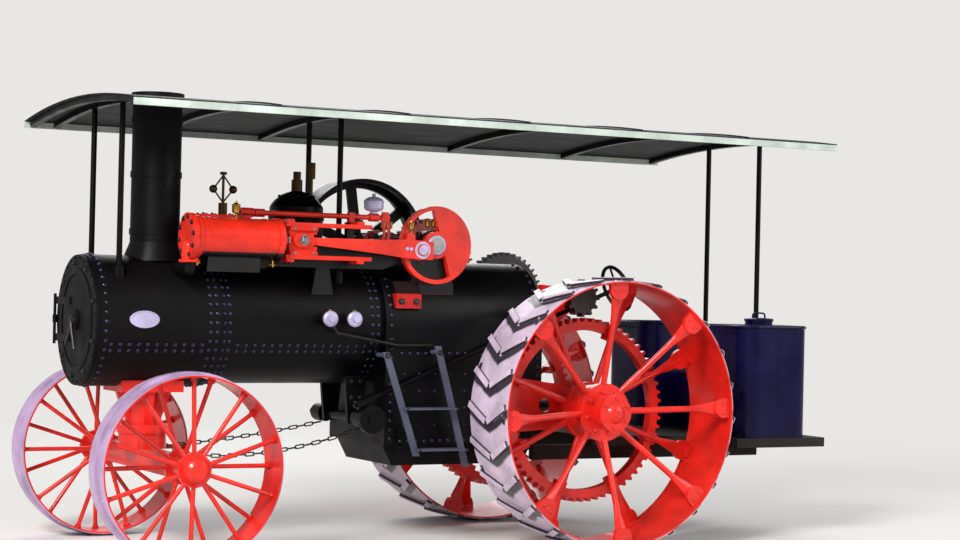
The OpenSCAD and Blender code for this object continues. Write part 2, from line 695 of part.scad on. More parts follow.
module bull_gear() {
    spur(0, rear_z, bull_y0, gear_w, bull_n, bull_pr, bull_pr - 66, 0);
    // Arms that bolt the ring to the inner spokes
    for (i = [0 : 7]) translate([0, 0, rear_z]) rotate([0, (i + 0.5) * 45 + spoke_turn, 0])
        box([-26, bull_y0 + 20, 470], [26, rear_in + 40, bull_pr - 50]);
}
module bull_gear_left() color("#8f1616") road_frame() bull_gear();
module bull_gear_right() color("#8f1616") road_frame() mirror([0, 1, 0]) bull_gear();

module front_bolster() color("#8f1616") road_frame() difference() {
    union() {
        cyl_z(wheelbase, 0, pivot_top + fit, boiler_z - smokebox_r + 60, 90);
        cyl_z(wheelbase, 0, pivot_top + fit, pivot_top + 50, 150);
        box([wheelbase - 190, -170, boiler_z - smokebox_r - 30],
            [wheelbase + 190, 170, boiler_z - smokebox_r + 60]);
        cross_plate([[-90, pivot_top + 40], [90, pivot_top + 40], [160, boiler_z - smokebox_r],
            [-160, boiler_z - smokebox_r]], wheelbase - 22, wheelbase + 22);
        side_plate([[wheelbase - 90, pivot_top + 40], [wheelbase + 90, pivot_top + 40],
            [wheelbase + 180, boiler_z - smokebox_r],
            [wheelbase - 180, boiler_z - smokebox_r]], -22, 22);
    }
    cyl_x(wheelbase - 400, wheelbase + 400, 0, boiler_z, smokebox_r + fit);
    cyl_z(wheelbase, 0, pivot_top - 1, pivot_top + 160, 40 + run);
}

module front_axle() color("#a01818") road_frame() {
    box([wheelbase - 55, -front_in + 70, front_z - 60], [wheelbase + 55, front_in - 70, front_z + 60]);
    for (s = [-1, 1]) cyl_y(wheelbase, s > 0 ? front_in - 71 : -front_out + 30,
        s > 0 ? front_out - 30 : -front_in + 71, front_z, 36);
    cyl_z(wheelbase, 0, front_z + 59, pivot_top, 140);
    cyl_z(wheelbase, 0, pivot_top - 1, pivot_top + 150, 40);
    // Ears for the steering chains
    for (s = [-1, 1]) difference() {
        side_plate([[wheelbase - 54, front_z - 30], [wheelbase - 54, front_z + 50],
            [wheelbase - 150, front_z + 60], [wheelbase - 150, front_z + 10]],
            s * chain_y - 14, s * chain_y + 14);
        cyl_y(wheelbase - 125, s * chain_y - 20, s * chain_y + 20, front_z + 36, 11);
    }
}

// Front wheel with its centre at the origin and its outer face towards +Y
module front_wheel() {
    tread_r = front_r - front_rib;
    difference() {
        union() {
            cyl_y(0, -front_w / 2, front_w / 2, 0, tread_r);
            cyl_y(0, -22, 22, 0, front_r);
        }
        cyl_y(0, -front_w / 2 - 1, front_w / 2 + 1, 0, tread_r - rim_t);
    }
    for (i = [0 : 19]) {
        s = (i % 2 == 0) ? 1 : -1;
        rotate([0, i * 18, 0]) bar([0, s * 104, 50], [0, s * 70, tread_r - rim_t / 2], 13);
    }
    difference() {
        union() {
            cyl_y(0, -150, 130, 0, 72);
            for (s = [-1, 1]) cyl_y(0, s * 106 - 15, s * 106 + 15, 0, 98);
            translate([0, 112, 0]) intersection() {
                sphere(88);
                cyl_y(0, 0, 76, 0, 88);
            }
        }
        cyl_y(0, -160, front_w / 2 - 30 + 4, 0, 36 + run);
    }
}
module front_wheel_left() color("#a01818") road_frame()
    translate([wheelbase, front_cy, front_z]) front_wheel();
module front_wheel_right() color("#a01818") road_frame() mirror([0, 1, 0])
    translate([wheelbase, front_cy, front_z]) front_wheel();

module steering_roller() color("#8f1616") road_frame() {
    cyl_y(roller_x, -roller_y, roller_y + 30, roller_z, 28);
    for (s = [-1, 1]) cyl_y(roller_x, s * chain_y - 60, s * chain_y + 60, roller_z, drum_r);
    cyl_y(roller_x, roller_y - 20, roller_y + 20, roller_z, wheel_r);
    // Hangers under the barrel
    for (s = [-1, 1]) difference() {
        side_plate([[roller_x - 45, roller_z - 40], [roller_x + 45, roller_z - 40],
            [roller_x + 80, boiler_z - 250], [roller_x - 80, boiler_z - 250]],
            s * 180 - 14, s * 180 + 14);
        cyl_x(roller_x - 200, roller_x + 200, 0, boiler_z, boiler_r + fit);
    }
}

module steering_column() color("#3a3a3e") road_frame() {
    translate([worm_x, roller_y, worm_z]) rotate([0, column_a - 90, 0]) {
        cyl_z(0, 0, -80, column_l, 14);
        cyl_z(0, 0, -62, 62, worm_r);
        cyl_z(0, 0, column_l - 30, column_l + 12, 30);
        translate([0, 0, column_l]) rotate_extrude() translate([148, 0]) circle(12);
        for (i = [0 : 4]) translate([0, 0, column_l]) rotate([0, 90, i * 72]) cylinder(h = 148, r = 7);
        // Bracket arms to the firebox side
        for (d = [330, 1250]) translate([0, 0, d]) rotate(
            [90, 0, 0]) cylinder(h = roller_y - firebox_r - fit, r = 11);
    }
}

// Slack chain of oval links from the drum to the axle's ear
module chain(y, sag) {
    n = 21;
    half = 21;
    r = 13;
    x0 = roller_x + 10;
    z0 = roller_z - drum_r - 5.4;
    x1 = wheelbase - 125 - 36;
    z1 = front_z + 36;
    for (i = [0 : n - 1]) {
        t = (i + 0.5) / n;
        slope = (z1 - z0 - 4 * sag * (1 - 2 * t)) / (x1 - x0);
        translate([x0 + (x1 - x0) * t, y, z0 + (z1 - z0) * t - 4 * sag * t * (1 - t)])
            rotate([0, -atan(slope), 0]) rotate([i % 2 * 90, 0, 0])
                translate([0, 0, -4]) linear_extrude(8) difference() {
                    union() {
                        translate([-half, -r]) square([2 * half, 2 * r]);
                        for (e = [-half, half]) translate([e, 0]) circle(r);
                    }
                    translate([-half + 2, -r + 8]) square([2 * half - 4, 2 * r - 16]);
                    for (e = [-half + 2, half - 2]) translate([e, 0]) circle(r - 8);
                }
    }
}
module steering_chains() color("#3a3a3e") road_frame() {
    chain(chain_y, 60);
    chain(-chain_y, 20);
}

module step_ladder() color("#1b1b1e") road_frame() {
    for (r = [[1350, 1190, 1130, 560], [1000, 1230, 790, 490]])
        side_plate([[r[0] - 22, r[1]], [r[0] + 22, r[1]], [r[2] + 22, r[3]], [r[2] - 22, r[3]]], 500, 512);
    for (z = [600, 850]) box([790 + (z - 490) * 0.284, 470, z - 5], [1130 + (z - 560) * 0.35, 590, z + 5]);
    // Stays to the boiler side
    bar([1340, 370, 1170], [1340, 505, 1170], 14);
    bar([985, firebox_r + fit, 1190], [985, 505, 1190], 14);
}

module deck() color("#26262a") road_frame() {
    difference() {
        box([tail_x, -tank_out - 10, deck_z - 60], [tank_x1 + 60, tank_out + 10, deck_z - fit]);
        // Notch over the drawbar's eye, for the pin
        box([tail_x - 1, -80, deck_z - 61], [tail_x + 130, 80, deck_z]);
    }
    box([tank_x1 + 59, -500, deck_z - 60], [-130, 500, deck_z - fit]);
    // Frame channels forward to the firebox
    for (s = [-1, 1]) box([-1500, s * 360 - 30, deck_z - 150],
        [firebox_x0 + 40, s * 360 + 30, deck_z - 59]);
}

module tank_shell(y0, y1) {
    translate([0, 0, deck_z]) linear_extrude(tank_top - deck_z) round_rect(tank_x0, y0, tank_x1, y1, 120);
}
module water_tank() color("#14161e") road_frame() {
    tank_shell(320, tank_out);
    cyl_z((tank_x0 + tank_x1) / 2, 620, tank_top - 1, tank_top + 30, 90);
}
module coal_bunker() color("#14161e") road_frame() difference() {
    tank_shell(-tank_out, -320);
    translate([0, 0, deck_z + 10]) linear_extrude(tank_top) round_rect(tank_x0 + 10, -tank_out + 10,
        tank_x1 - 10, -330, 110);
}
module tool_box() color("#14161e") road_frame() box([tank_x0 + 24, -272, deck_z],
    [tank_x0 + 300, 272, deck_z + 380]);

module fire_door() color("#2c2c30") road_frame() {
    box([firebox_x0 - 22, -185, 1010], [firebox_x0 - 3 * fit, 185, 1280]);
    cyl_z(firebox_x0 - 22, 196, 1020, 1270, 12);
    bar([firebox_x0 - 20, -150, 1145], [firebox_x0 - 70, -150, 1145], 9);
}

module levers() {
    side_plate([[-40, 1000], [0, 1000], [-60, 1620], [-84, 1620]], -330, -318);
    side_plate([[60, 1560], [firebox_x0 - fit, 1560], [firebox_x0 - fit, 1590], [60, 1590]], -140, -128);
}

module gauges() {
    cyl_x(firebox_x0 - 50, firebox_x0 - 10, 0, 1620, 70);
    cyl_x(firebox_x0 - 11, firebox_x0 - fit, 0, 1620, 22);
    for (z = [1380, 1500]) cyl_x(firebox_x0 - 60, firebox_x0 - fit, 180, z, 12);
    cyl_z(firebox_x0 - 48, 180, 1370, 1515, 10);
}

module backhead_fittings() color("#b08d3c") road_frame() {
    levers();
    gauges();
}

module roof_section(t, lift) {
    difference() {
        translate([0, arch_z]) circle(arch_r + lift + t, $fn = 1440);
        translate([0, arch_z]) circle(arch_r + lift, $fn = 1440);
        translate([-2 * arch_r, -3 * arch_r]) square([4 * arch_r, 3 * arch_r + roof_z - 80]);
        translate([roof_half, -arch_r]) square(3 * arch_r);
        translate([-roof_half - 3 * arch_r, -arch_r]) square(3 * arch_r);
    }
}
module canopy_roof() color("#202226") road_frame() difference() {
    translate([roof_x0, 0, 0]) rotate([90, 0, 90]) linear_extrude(roof_x1 - roof_x0) roof_section(roof_t,
        fit);
    cyl_z(stack_x, 0, 2400, 2900, stack_r + 26);
}
module canopy_edges() color("#b9c4bd") road_frame() for (s = [-1, 1])
    box([roof_x0, s > 0 ? roof_half - 22 : -roof_half, roof_z - strip_h],
        [roof_x1, s > 0 ? roof_half : -roof_half + 22, roof_z]);
module canopy_bows() for (x = bows)
    translate([x, 0, 0]) rotate([90, 0, 90]) linear_extrude(bow_w) difference() {
        roof_section(bow_h, -bow_h);
        for (s = [-1, 1])
            translate([s > 0 ? roof_half - 22 - fit : -roof_half - 100, 2000]) square([122 + fit, 1000]);
    }
module canopy_post(x, y, z) {
    top = arch_z + sqrt(arch_r * arch_r - y * y) - bow_h + 6;
    cyl_z(x, y, z, top, post_r);
}
module canopy_posts() {
    // Rear posts on the deck, between the tanks
    for (s = [-1, 1]) {
        canopy_post(bows[0] + bow_w / 2, s * 297, deck_z);
        cyl_z(bows[0] + bow_w / 2, s * 297, deck_z, deck_z + 12, 22);
    }
    // Front posts with feet on the barrel and the smokebox
    difference() {
        for (s = [-1, 1], p = [[bows[3], 240], [bows[5], 260]]) {
            canopy_post(p[0] + bow_w / 2, s * p[1], boiler_z + 210);
            cyl_z(p[0] + bow_w / 2, s * p[1], boiler_z + 210, boiler_z + 318, post_foot);
        }
        cyl_x(firebox_x1, smokebox_x0, 0, boiler_z, boiler_r + fit);
        cyl_x(smokebox_x0, smokebox_x1, 0, boiler_z, smokebox_r + fit);
    }
}

module canopy_frame() color("#1b1b1e") road_frame() {
    canopy_bows();
    canopy_posts();
}

module drawbar() color("#3a3a3e") road_frame() difference() {
    union() {
        translate([0, 0, deck_z - 110]) linear_extrude(50 - fit)
            polygon([[tail_x + 60, -60], [-1400, -130], [-1400, 130], [tail_x + 60, 60]]);
        cyl_z(tail_x + 60, 0, deck_z - 110, deck_z - 60 - fit, 60);
    }
    cyl_z(tail_x + 60, 0, deck_z - 200, deck_z, 22);
}

boiler_barrel();
firebox();
smokebox();
smokebox_door();
chimney();
steam_dome();
safety_valve();
cylinder_part();  // cylinder
engine_bed();
crosshead();
connecting_rod();
crank_disc();
crankshaft();
flywheel();
main_bearings();
valve_gear();
governor();
steam_pipe();
check_valves();
gear_train();
countershaft();
rear_axle();
axle_brackets();
rear_wheel_left();
rear_wheel_right();
bull_gear_left();
bull_gear_right();
front_bolster();
front_axle();
front_wheel_left();
front_wheel_right();
steering_roller();
steering_column();
steering_chains();
step_ladder();
deck();
water_tank();
coal_bunker();
tool_box();
fire_door();
backhead_fittings();
canopy_roof();
canopy_edges();
canopy_frame();
drawbar();
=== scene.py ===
"""Steam traction engine: finishes, rivets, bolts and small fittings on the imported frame.

Lengths are in metres. Places along X are measured from the rear axle and shifted by at().
"""
import math

import bmesh
import bpy
from mathutils import Matrix, Vector


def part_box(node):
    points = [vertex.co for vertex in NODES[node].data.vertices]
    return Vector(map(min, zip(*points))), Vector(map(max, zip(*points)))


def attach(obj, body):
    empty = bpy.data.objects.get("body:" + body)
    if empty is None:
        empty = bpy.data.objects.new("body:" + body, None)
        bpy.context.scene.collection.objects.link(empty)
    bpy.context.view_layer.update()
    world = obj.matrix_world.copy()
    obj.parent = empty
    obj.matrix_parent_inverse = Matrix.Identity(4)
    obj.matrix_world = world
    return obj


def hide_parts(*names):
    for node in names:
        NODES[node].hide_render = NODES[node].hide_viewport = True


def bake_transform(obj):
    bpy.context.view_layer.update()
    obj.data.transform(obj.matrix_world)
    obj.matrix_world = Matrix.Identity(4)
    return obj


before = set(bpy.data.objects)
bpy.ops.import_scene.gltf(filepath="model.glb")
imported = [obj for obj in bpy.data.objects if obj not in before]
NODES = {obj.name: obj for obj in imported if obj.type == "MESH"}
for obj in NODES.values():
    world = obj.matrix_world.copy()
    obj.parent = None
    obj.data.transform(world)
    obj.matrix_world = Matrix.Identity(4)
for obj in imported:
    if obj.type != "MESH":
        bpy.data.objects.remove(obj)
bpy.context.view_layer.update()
scene = bpy.context.scene

# Directions of the frame
UP = Vector((0, 0, 1))
AHEAD = Vector((1, 0, 0))
BACK = Vector((-1, 0, 0))
LEFT = Vector((0, 1, 0))

# Where the rear axle stands in the frame
axle_low, axle_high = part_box("rear_axle")
REAR_X = (axle_low[0] + axle_high[0]) / 2
REAR_Z = (axle_low[2] + axle_high[2]) / 2

# Wheels: middles, radii, lugs and spokes
WHEELBASE = 2.695
FRONT_Z = 0.543
REAR_Y = 0.8315
FRONT_Y = 0.773
REAR_W = 0.457
RIM_R = 0.816
LUG_TOP_R = 0.838
FRONT_TREAD_R = 0.529
LUGS = 24
LUG_SLANT = math.radians(25)
LUG_PITCH = 2 * math.pi * RIM_R / LUGS
SPOKES = 16
SPOKE_TURN = math.radians(2.5)
EAR_Y = 0.1945
FRONT_SPOKES = 20

# Boiler
BOILER_Z = 1.35
BARREL_R = 0.370
FIREBOX_R = 0.400
SMOKEBOX_R = 0.385
FIREBOX_X = (0.200, 1.300)
SMOKEBOX_X = (2.350, 3.090)
STACK_X = 2.648
STACK_R = 0.146
DOME_X = 1.740

# Engine, with the crank and the rod as they stand at rest
ENGINE_Y = 0.440
CRANK_X = 0.970
CRANK_Z = 1.848
THROW = 0.127
CRANK_ANGLE = math.radians(16)
ROD_L = 0.800
PIN_X = CRANK_X + THROW * math.cos(CRANK_ANGLE)
PIN_Z = CRANK_Z - THROW * math.sin(CRANK_ANGLE)
CROSS_X = PIN_X + math.sqrt(ROD_L ** 2 - (CRANK_Z - PIN_Z) ** 2)
CYLINDER_X = (2.040, 2.580)
CYLINDER_R = 0.125
BEARING_Y = 0.310
# Side of the rod, with its fittings let in by a tenth of a millimetre
ROD_SIDE = 0.0149

# Tanks and roof
TANK_X = (-1.590, -1.060)
TANK_Z = (0.660, 1.390)
TANK_Y = (0.320, 0.850)
ROOF_X = (-1.600, 3.150)
ROOF_HALF = 1.058
ROOF_Z = 2.570
ROOF_RISE = 0.075
ROOF_TOP = 2.651

# The photograph's camera, from the fit to its wheels, roof edge and boiler
CAM_POS = (6.67, 11.44, 1.569)
CAM_YAW = math.radians(-118.56)
CAM_PITCH = math.radians(0.61)
CAM_ROLL = math.radians(1.31)
CAM_FOCAL_PX = 2015.7
PHOTO_WIDTH_PX = 960
SENSOR_MM = 36.0


def at(x, y, z):
    """A place given from the rear axle, as a point of the frame."""
    return Vector((x + REAR_X, y, z))


def add_camera():
    forward = Vector((math.cos(CAM_PITCH) * math.cos(CAM_YAW),
                      math.cos(CAM_PITCH) * math.sin(CAM_YAW),
                      math.sin(CAM_PITCH)))
    level = forward.cross(UP).normalized()
    upright = level.cross(forward)
    right = math.cos(CAM_ROLL) * level + math.sin(CAM_ROLL) * upright
    up = -math.sin(CAM_ROLL) * level + math.cos(CAM_ROLL) * upright
    data = bpy.data.cameras.new("camera")
    data.sensor_width = SENSOR_MM
    data.lens = CAM_FOCAL_PX / PHOTO_WIDTH_PX * SENSOR_MM
    data.clip_end = 200
    camera = bpy.data.objects.new("camera", data)
    turn = Matrix((right, up, -forward)).transposed().to_4x4()
    camera.matrix_world = Matrix.Translation(at(*CAM_POS)) @ turn
    scene.collection.objects.link(camera)
    scene.camera = camera


# Materials

# Sockets of a colour mix: its factor, the colour at 0, the colour at 1, and the result
MIX, UNDER, OVER, MIXED = 0, 6, 7, 2
# Turns a map range round, so that it falls from 1 to 0
FALLING = {"To Min": 1.0, "To Max": 0.0}

# Repeats a metre, from sizes in millimetres: blotches of 250, grit of 11, runs 15 wide and 200 long,
# and grain 8 wide and 333 long. Real grit and grain are finer; these are as coarse as the render shows.
BLOTCHES = 1000 / 250
GRIT = 1000 / 11.11
RUNS = (1000 / 15.15, 1000 / 15.15, 1000 / 200)
GRAIN = (1000 / 333.3, 1000 / 7.692, 1000 / 7.692)

# Half the soft edge between two coats
EDGE = 0.002


def srgb(code):
    """Linear RGBA from a hex colour such as c4161c."""
    out = []
    for i in (0, 2, 4):
        c = int(code[i:i + 2], 16) / 255
        out.append(c / 12.92 if c <= 0.04045 else ((c + 0.055) / 1.055) ** 2.4)
    return (*out, 1.0)


def darker(code, share):
    """A hex colour at a share of its light."""
    return tuple(c * share for c in srgb(code)[:3]) + (1.0,)


def node(tree, kind, links=None, **settings):
    """A shader node, its kind without ShaderNode in front, with inputs as values or other nodes' sockets."""
    n = tree.nodes.new("ShaderNode" + kind)
    for k, v in settings.items():
        setattr(n, k, v)
    for k, v in (links or {}).items():
        if isinstance(v, bpy.types.NodeSocket):
            tree.links.new(v, n.inputs[k])
        else:
            n.inputs[k].default_value = v
    return n


def new_material(name):
    """Material, its tree, its Principled node and the place on the object as a socket."""
    mat = bpy.data.materials.new(name)
    mat.use_nodes = True
    tree = mat.node_tree
    where = node(tree, "TexCoord").outputs["Object"]
    return mat, tree, tree.nodes["Principled BSDF"], where


def weathered(tree, where, colour, dust, dusting):
    """Brushed paint outdoors: soft blotches, dark runs down the sides and dust on what faces up."""
    worn = darker(colour, 0.62)
    broad = node(tree, "TexNoise", {"Vector": where, "Scale": BLOTCHES, "Detail": 6.0,
                                    "Roughness": 0.62}).outputs["Fac"]
    blotch = node(tree, "MapRange", {"Value": broad, "From Min": 0.38, "From Max": 0.66}).outputs[0]
    body = node(tree, "Mix", {MIX: blotch, UNDER: worn, OVER: srgb(colour)}, data_type="RGBA").outputs[MIXED]
    drawn = node(tree, "Mapping", {"Vector": where, "Scale": RUNS}).outputs[0]
    runs = node(tree, "TexNoise", {"Vector": drawn, "Scale": 1.0, "Detail": 3.0}).outputs["Fac"]
    run = node(tree, "MapRange", {"Value": runs, "From Min": 0.56, "From Max": 0.8,
                                  "To Max": 0.5}).outputs[0]
    body = node(tree, "Mix", {MIX: run, UNDER: body, OVER: worn}, data_type="RGBA").outputs[MIXED]
    normal = node(tree, "NewGeometry").outputs["Normal"]
    upward = node(tree, "SeparateXYZ", {0: normal}).outputs["Z"]
    lie = node(tree, "MapRange", {"Value": upward, "From Min": 0.2, "From Max": 1.0,
                                  "To Min": 0.04}).outputs[0]
    grit = node(tree, "TexNoise", {"Vector": where, "Scale": GRIT, "Detail": 4.0,
                                   "Roughness": 0.7}).outputs["Fac"]
    spots = node(tree, "MapRange", {"Value": grit, "From Min": 0.38, "From Max": 0.72,
                                    "To Max": dusting}).outputs[0]
    film = node(tree, "Math", {0: lie, 1: spots}, operation="MULTIPLY").outputs[0]
    body = node(tree, "Mix", {MIX: film, UNDER: body, OVER: srgb(dust)}, data_type="RGBA").outputs[MIXED]
    return body, broad, grit


def finish_surface(tree, bsdf, colour, broad, grit, rough, bump_mm, metallic=0.0, coat=0.0, gloss=0.5):
    """Shine that varies with the blotches, a fine bump from the grit, and a clear coat over both."""
    shine = node(tree, "MapRange", {"Value": broad, "From Min": 0.3, "From Max": 0.7,
                                    "To Min": rough * 0.75, "To Max": min(1.0, rough * 1.35)}).outputs[0]
    bump = node(tree, "Bump", {"Height": grit, "Strength": 0.35, "Distance": bump_mm / 1000}).outputs[0]
    tree.links.new(colour, bsdf.inputs["Base Color"])
    tree.links.new(shine, bsdf.inputs["Roughness"])
    tree.links.new(bump, bsdf.inputs["Normal"])
    bsdf.inputs["Specular IOR Level"].default_value = gloss
    bsdf.inputs["Metallic"].default_value = metallic
    bsdf.inputs["Coat Weight"].default_value = coat
    bsdf.inputs["Coat Roughness"].default_value = 0.1


def paint(name, colour, dust, rough, dusting=0.35, bump_mm=0.4, metallic=0.0, coat=0.0, gloss=0.5):
    """One weathered coat, or with metallic at 1 a bare metal."""
    mat, tree, bsdf, where = new_material(name)
    body, broad, grit = weathered(tree, where, colour, dust, dusting)
    finish_surface(tree, bsdf, body, broad, grit, rough, bump_mm, metallic, coat, gloss)
    return mat


def paint_two_tone(name, lower, upper, height, dust, rough, coat=0.0, axis="Z", metal=False, beyond_x=None):
    """One coat up to a line across an axis, another coat or bare metal beyond it and ahead of beyond_x."""
    mat, tree, bsdf, where = new_material(name)
    low, broad, grit = weathered(tree, where, lower, dust, 0.3)
    high = weathered(tree, where, upper, dust, 0.3)[0]
    parts = node(tree, "SeparateXYZ", {0: where}).outputs
    line = node(tree, "MapRange", {"Value": parts[axis], "From Min": height - EDGE,
                                   "From Max": height + EDGE}).outputs[0]
    if beyond_x:
        start = beyond_x + REAR_X
        ahead = node(tree, "MapRange", {"Value": parts["X"], "From Min": start,
                                        "From Max": start + 2 * EDGE}).outputs[0]
        line = node(tree, "Math", {0: line, 1: ahead}, operation="MAXIMUM").outputs[0]
    body = node(tree, "Mix", {MIX: line, UNDER: low, OVER: high}, data_type="RGBA").outputs[MIXED]
    finish_surface(tree, bsdf, body, broad, grit, rough, bump_mm=0.4, coat=coat, gloss=0.3)
    if metal:
        tree.links.new(line, bsdf.inputs["Metallic"])
    return mat


def lug_shadow_and_soil_bands(tree, where, flat, r, broad, on_tread, tread_r):
    """Painted shadow behind each lug of the herringbone, with soil in it: a slanted band with ragged edges.
    """
    ends = node(tree, "SeparateXYZ", {0: flat}).outputs
    turn = node(tree, "Math", {0: ends["X"], 1: ends["Z"]}, operation="ARCTAN2").outputs[0]
    across = node(tree, "SeparateXYZ", {0: where}).outputs["Y"]
    across = node(tree, "Math", {0: across}, operation="ABSOLUTE").outputs[0]
    across = node(tree, "Math", {0: across, 1: REAR_Y}, operation="SUBTRACT").outputs[0]
    across = node(tree, "Math", {0: across}, operation="ABSOLUTE").outputs[0]
    # Counts lugs on the way round; the fraction says how far behind its lug a point lies, in pitches
    lean = math.tan(LUG_SLANT) / LUG_PITCH
    ragged = 0.25
    start = -REAR_W / 4 * lean - ragged / 2
    steps = node(tree, "Math", {0: turn, 1: LUGS / (2 * math.pi)}, operation="MULTIPLY").outputs[0]
    steps = node(tree, "Math", {0: across, 1: lean, 2: steps}, operation="MULTIPLY_ADD").outputs[0]
    steps = node(tree, "Math", {0: broad, 1: ragged, 2: steps}, operation="MULTIPLY_ADD").outputs[0]
    steps = node(tree, "Math", {0: steps, 1: start}, operation="ADD").outputs[0]
    behind = node(tree, "Math", {0: steps}, operation="FRACT").outputs[0]
    near = node(tree, "MapRange", {"Value": behind, "From Min": 0.06, "From Max": 0.09}).outputs[0]
    past = node(tree, "MapRange", {"Value": behind, "From Min": 0.30, "From Max": 0.38,
                                   **FALLING}).outputs[0]
    low = node(tree, "MapRange", {"Value": r, "From Min": tread_r + 0.001, "From Max": tread_r + 0.002,
                                  **FALLING}).outputs[0]
    band = node(tree, "Math", {0: near, 1: past}, operation="MULTIPLY").outputs[0]
    band = node(tree, "Math", {0: band, 1: on_tread}, operation="MULTIPLY").outputs[0]
    return node(tree, "Math", {0: band, 1: low}, operation="MULTIPLY").outputs[0]


def paint_wheel(name, red, tread, flank, axle_x, axle_z, tread_r, top_r):
    """Red inside the rim. The tread and the lugs' tops are scoured pale, in a colour with painted light in
    it; with top_r given, the lugs' flanks are darkened as painted shade and a painted shadow lies behind
    each lug, both in the colour of soil.
    """
    mat, tree, bsdf, where = new_material(name)
    body, broad, grit = weathered(tree, where, red, WHEEL_DUST, 0.3)
    arm = node(tree, "VectorMath", {0: where, 1: (axle_x, 0, axle_z)}, operation="SUBTRACT").outputs[0]
    flat = node(tree, "VectorMath", {0: arm, 1: (1, 0, 1)}, operation="MULTIPLY").outputs[0]
    r = node(tree, "VectorMath", {0: flat}, operation="LENGTH").outputs["Value"]
    on_tread = node(tree, "MapRange", {"Value": r, "From Min": tread_r - 0.0045,
                                       "From Max": tread_r - 0.002}).outputs[0]
    # Tread colour: scoured iron with painted sky reflection, and on the rear wheels painted sun
    scour_and_sky_tint = weathered(tree, where, tread, TREAD_DUST, 0.25)[0]
    body = node(tree, "Mix", {MIX: on_tread, UNDER: body, OVER: scour_and_sky_tint}, data_type="RGBA").outputs[MIXED]
    if top_r:
        # Painted shadow of each lug, laid on the tread in a dark soil colour
        lug_shadow_mask = lug_shadow_and_soil_bands(tree, where, flat, r, broad, on_tread, tread_r)
        lug_shadow_colour = srgb("39323c")
        body = node(tree, "Mix", {MIX: lug_shadow_mask, UNDER: body, OVER: lug_shadow_colour}, data_type="RGBA").outputs[MIXED]
        # The lugs' flanks darkened: painted shade, in the colour of soil
        above = node(tree, "MapRange", {"Value": r, "From Min": tread_r + 0.001,
                                        "From Max": tread_r + 0.003}).outputs[0]
        below = node(tree, "MapRange", {"Value": r, "From Min": top_r - 0.005, "From Max": top_r - 0.002,
                                        **FALLING}).outputs[0]
        side = node(tree, "Math", {0: above, 1: below}, operation="MULTIPLY").outputs[0]
        flank_shade_and_soil = weathered(tree, where, flank, "6b5f5c", 0.4)[0]
        body = node(tree, "Mix", {MIX: side, UNDER: body, OVER: flank_shade_and_soil}, data_type="RGBA").outputs[MIXED]
    finish_surface(tree, bsdf, body, broad, grit, rough=0.34, bump_mm=0.5, coat=0.3, gloss=0.35)
    return mat


def boards(name, colour, seam, width, dust, rough):
    """Boards along X: each has its own tone and long grain, with a dark joint every width."""
    mat, tree, bsdf, where = new_material(name)
    body = weathered(tree, where, colour, dust, 0.28)[0]
    y = node(tree, "SeparateXYZ", {0: where}).outputs["Y"]
    lanes = node(tree, "Math", {0: y, 1: width}, operation="DIVIDE").outputs[0]
    edge = node(tree, "Math", {0: lanes}, operation="FRACT").outputs[0]
    joint = node(tree, "MapRange", {"Value": edge, "From Min": 0.0, "From Max": 0.07, **FALLING}).outputs[0]
    lane = node(tree, "Math", {0: lanes}, operation="FLOOR").outputs[0]
    tone = node(tree, "TexWhiteNoise", {"W": lane}, noise_dimensions="1D").outputs["Value"]
    drawn = node(tree, "Mapping", {"Vector": where, "Scale": GRAIN}).outputs[0]
    grain = node(tree, "TexNoise", {"Vector": drawn, "Scale": 1.0, "Detail": 5.0}).outputs["Fac"]
    shade = node(tree, "Math", {0: tone, 1: grain}, operation="MULTIPLY").outputs[0]
    dark = darker(colour, 0.5)
    body = node(tree, "Mix", {MIX: shade, UNDER: body, OVER: dark}, data_type="RGBA").outputs[MIXED]
    body = node(tree, "Mix", {MIX: joint, UNDER: body, OVER: srgb(seam)}, data_type="RGBA").outputs[MIXED]
    finish_surface(tree, bsdf, body, grain, grain, rough, bump_mm=0.8, gloss=0.2)
    return mat


# Colours that several finishes share
WHEEL_RED = "ee2114"
ENGINE_RED = "f22a12"
MATT_BLACK = "040406"
STEEL_GREY = "b4b2ae"
# Tread colours: scoured iron with the sky's lilac painted in as a reflection; the rear one is painted paler,
# as if in sun
REAR_TREAD_PAINTED_SUN_AND_SKY = "e6cfe6"
FRONT_TREAD_PAINTED_SKY = "c4a6cc"
# Dark of the lugs' flanks: painted shade, in the colour of soil
LUG_SHADE_AND_SOIL = "3a3436"
WHEEL_DUST = "9c7c6c"
TREAD_DUST = "8d8378"

# Oil enamel over iron on the engine: a warm red with a soft shine and oily dark runs
ENGINE_PAINT = paint("red_engine_enamel", ENGINE_RED, "7f4a3c", 0.32, coat=0.3, gloss=0.4)
# The same enamel in the crimson of the wheels, dustier
WHEEL_PAINT = paint("crimson_wheel_enamel", WHEEL_RED, WHEEL_DUST, 0.34, coat=0.3, gloss=0.35)
# Cylinder enamel: black below, red above and on the front end, with a thin film of oil
CYLINDER_PAINT = paint_two_tone("red_over_black_enamel", MATT_BLACK, ENGINE_RED, 1.765, "6c4a42", 0.34,
                                coat=0.25, beyond_x=2.535)
# The bed's enamel: black on the girder inside, red on the guide bars outside
BED_PAINT = paint_two_tone("black_girder_and_red_guides", MATT_BLACK, ENGINE_RED, 0.365, "6c4a42",
                           0.34, coat=0.25, axis="Y")
# The bearings' enamel: red feet and black blocks
BEARING_PAINT = paint_two_tone("red_foot_enamel", "b8140f", MATT_BLACK, 1.545, "5c4a42", 0.35, coat=0.2)
# Black boiler paint: hand brushed, dull, with grey dust along the top
BOILER_PAINT = paint("black_boiler_paint", MATT_BLACK, "2a2624", 0.36, dusting=0.14, gloss=0.14)
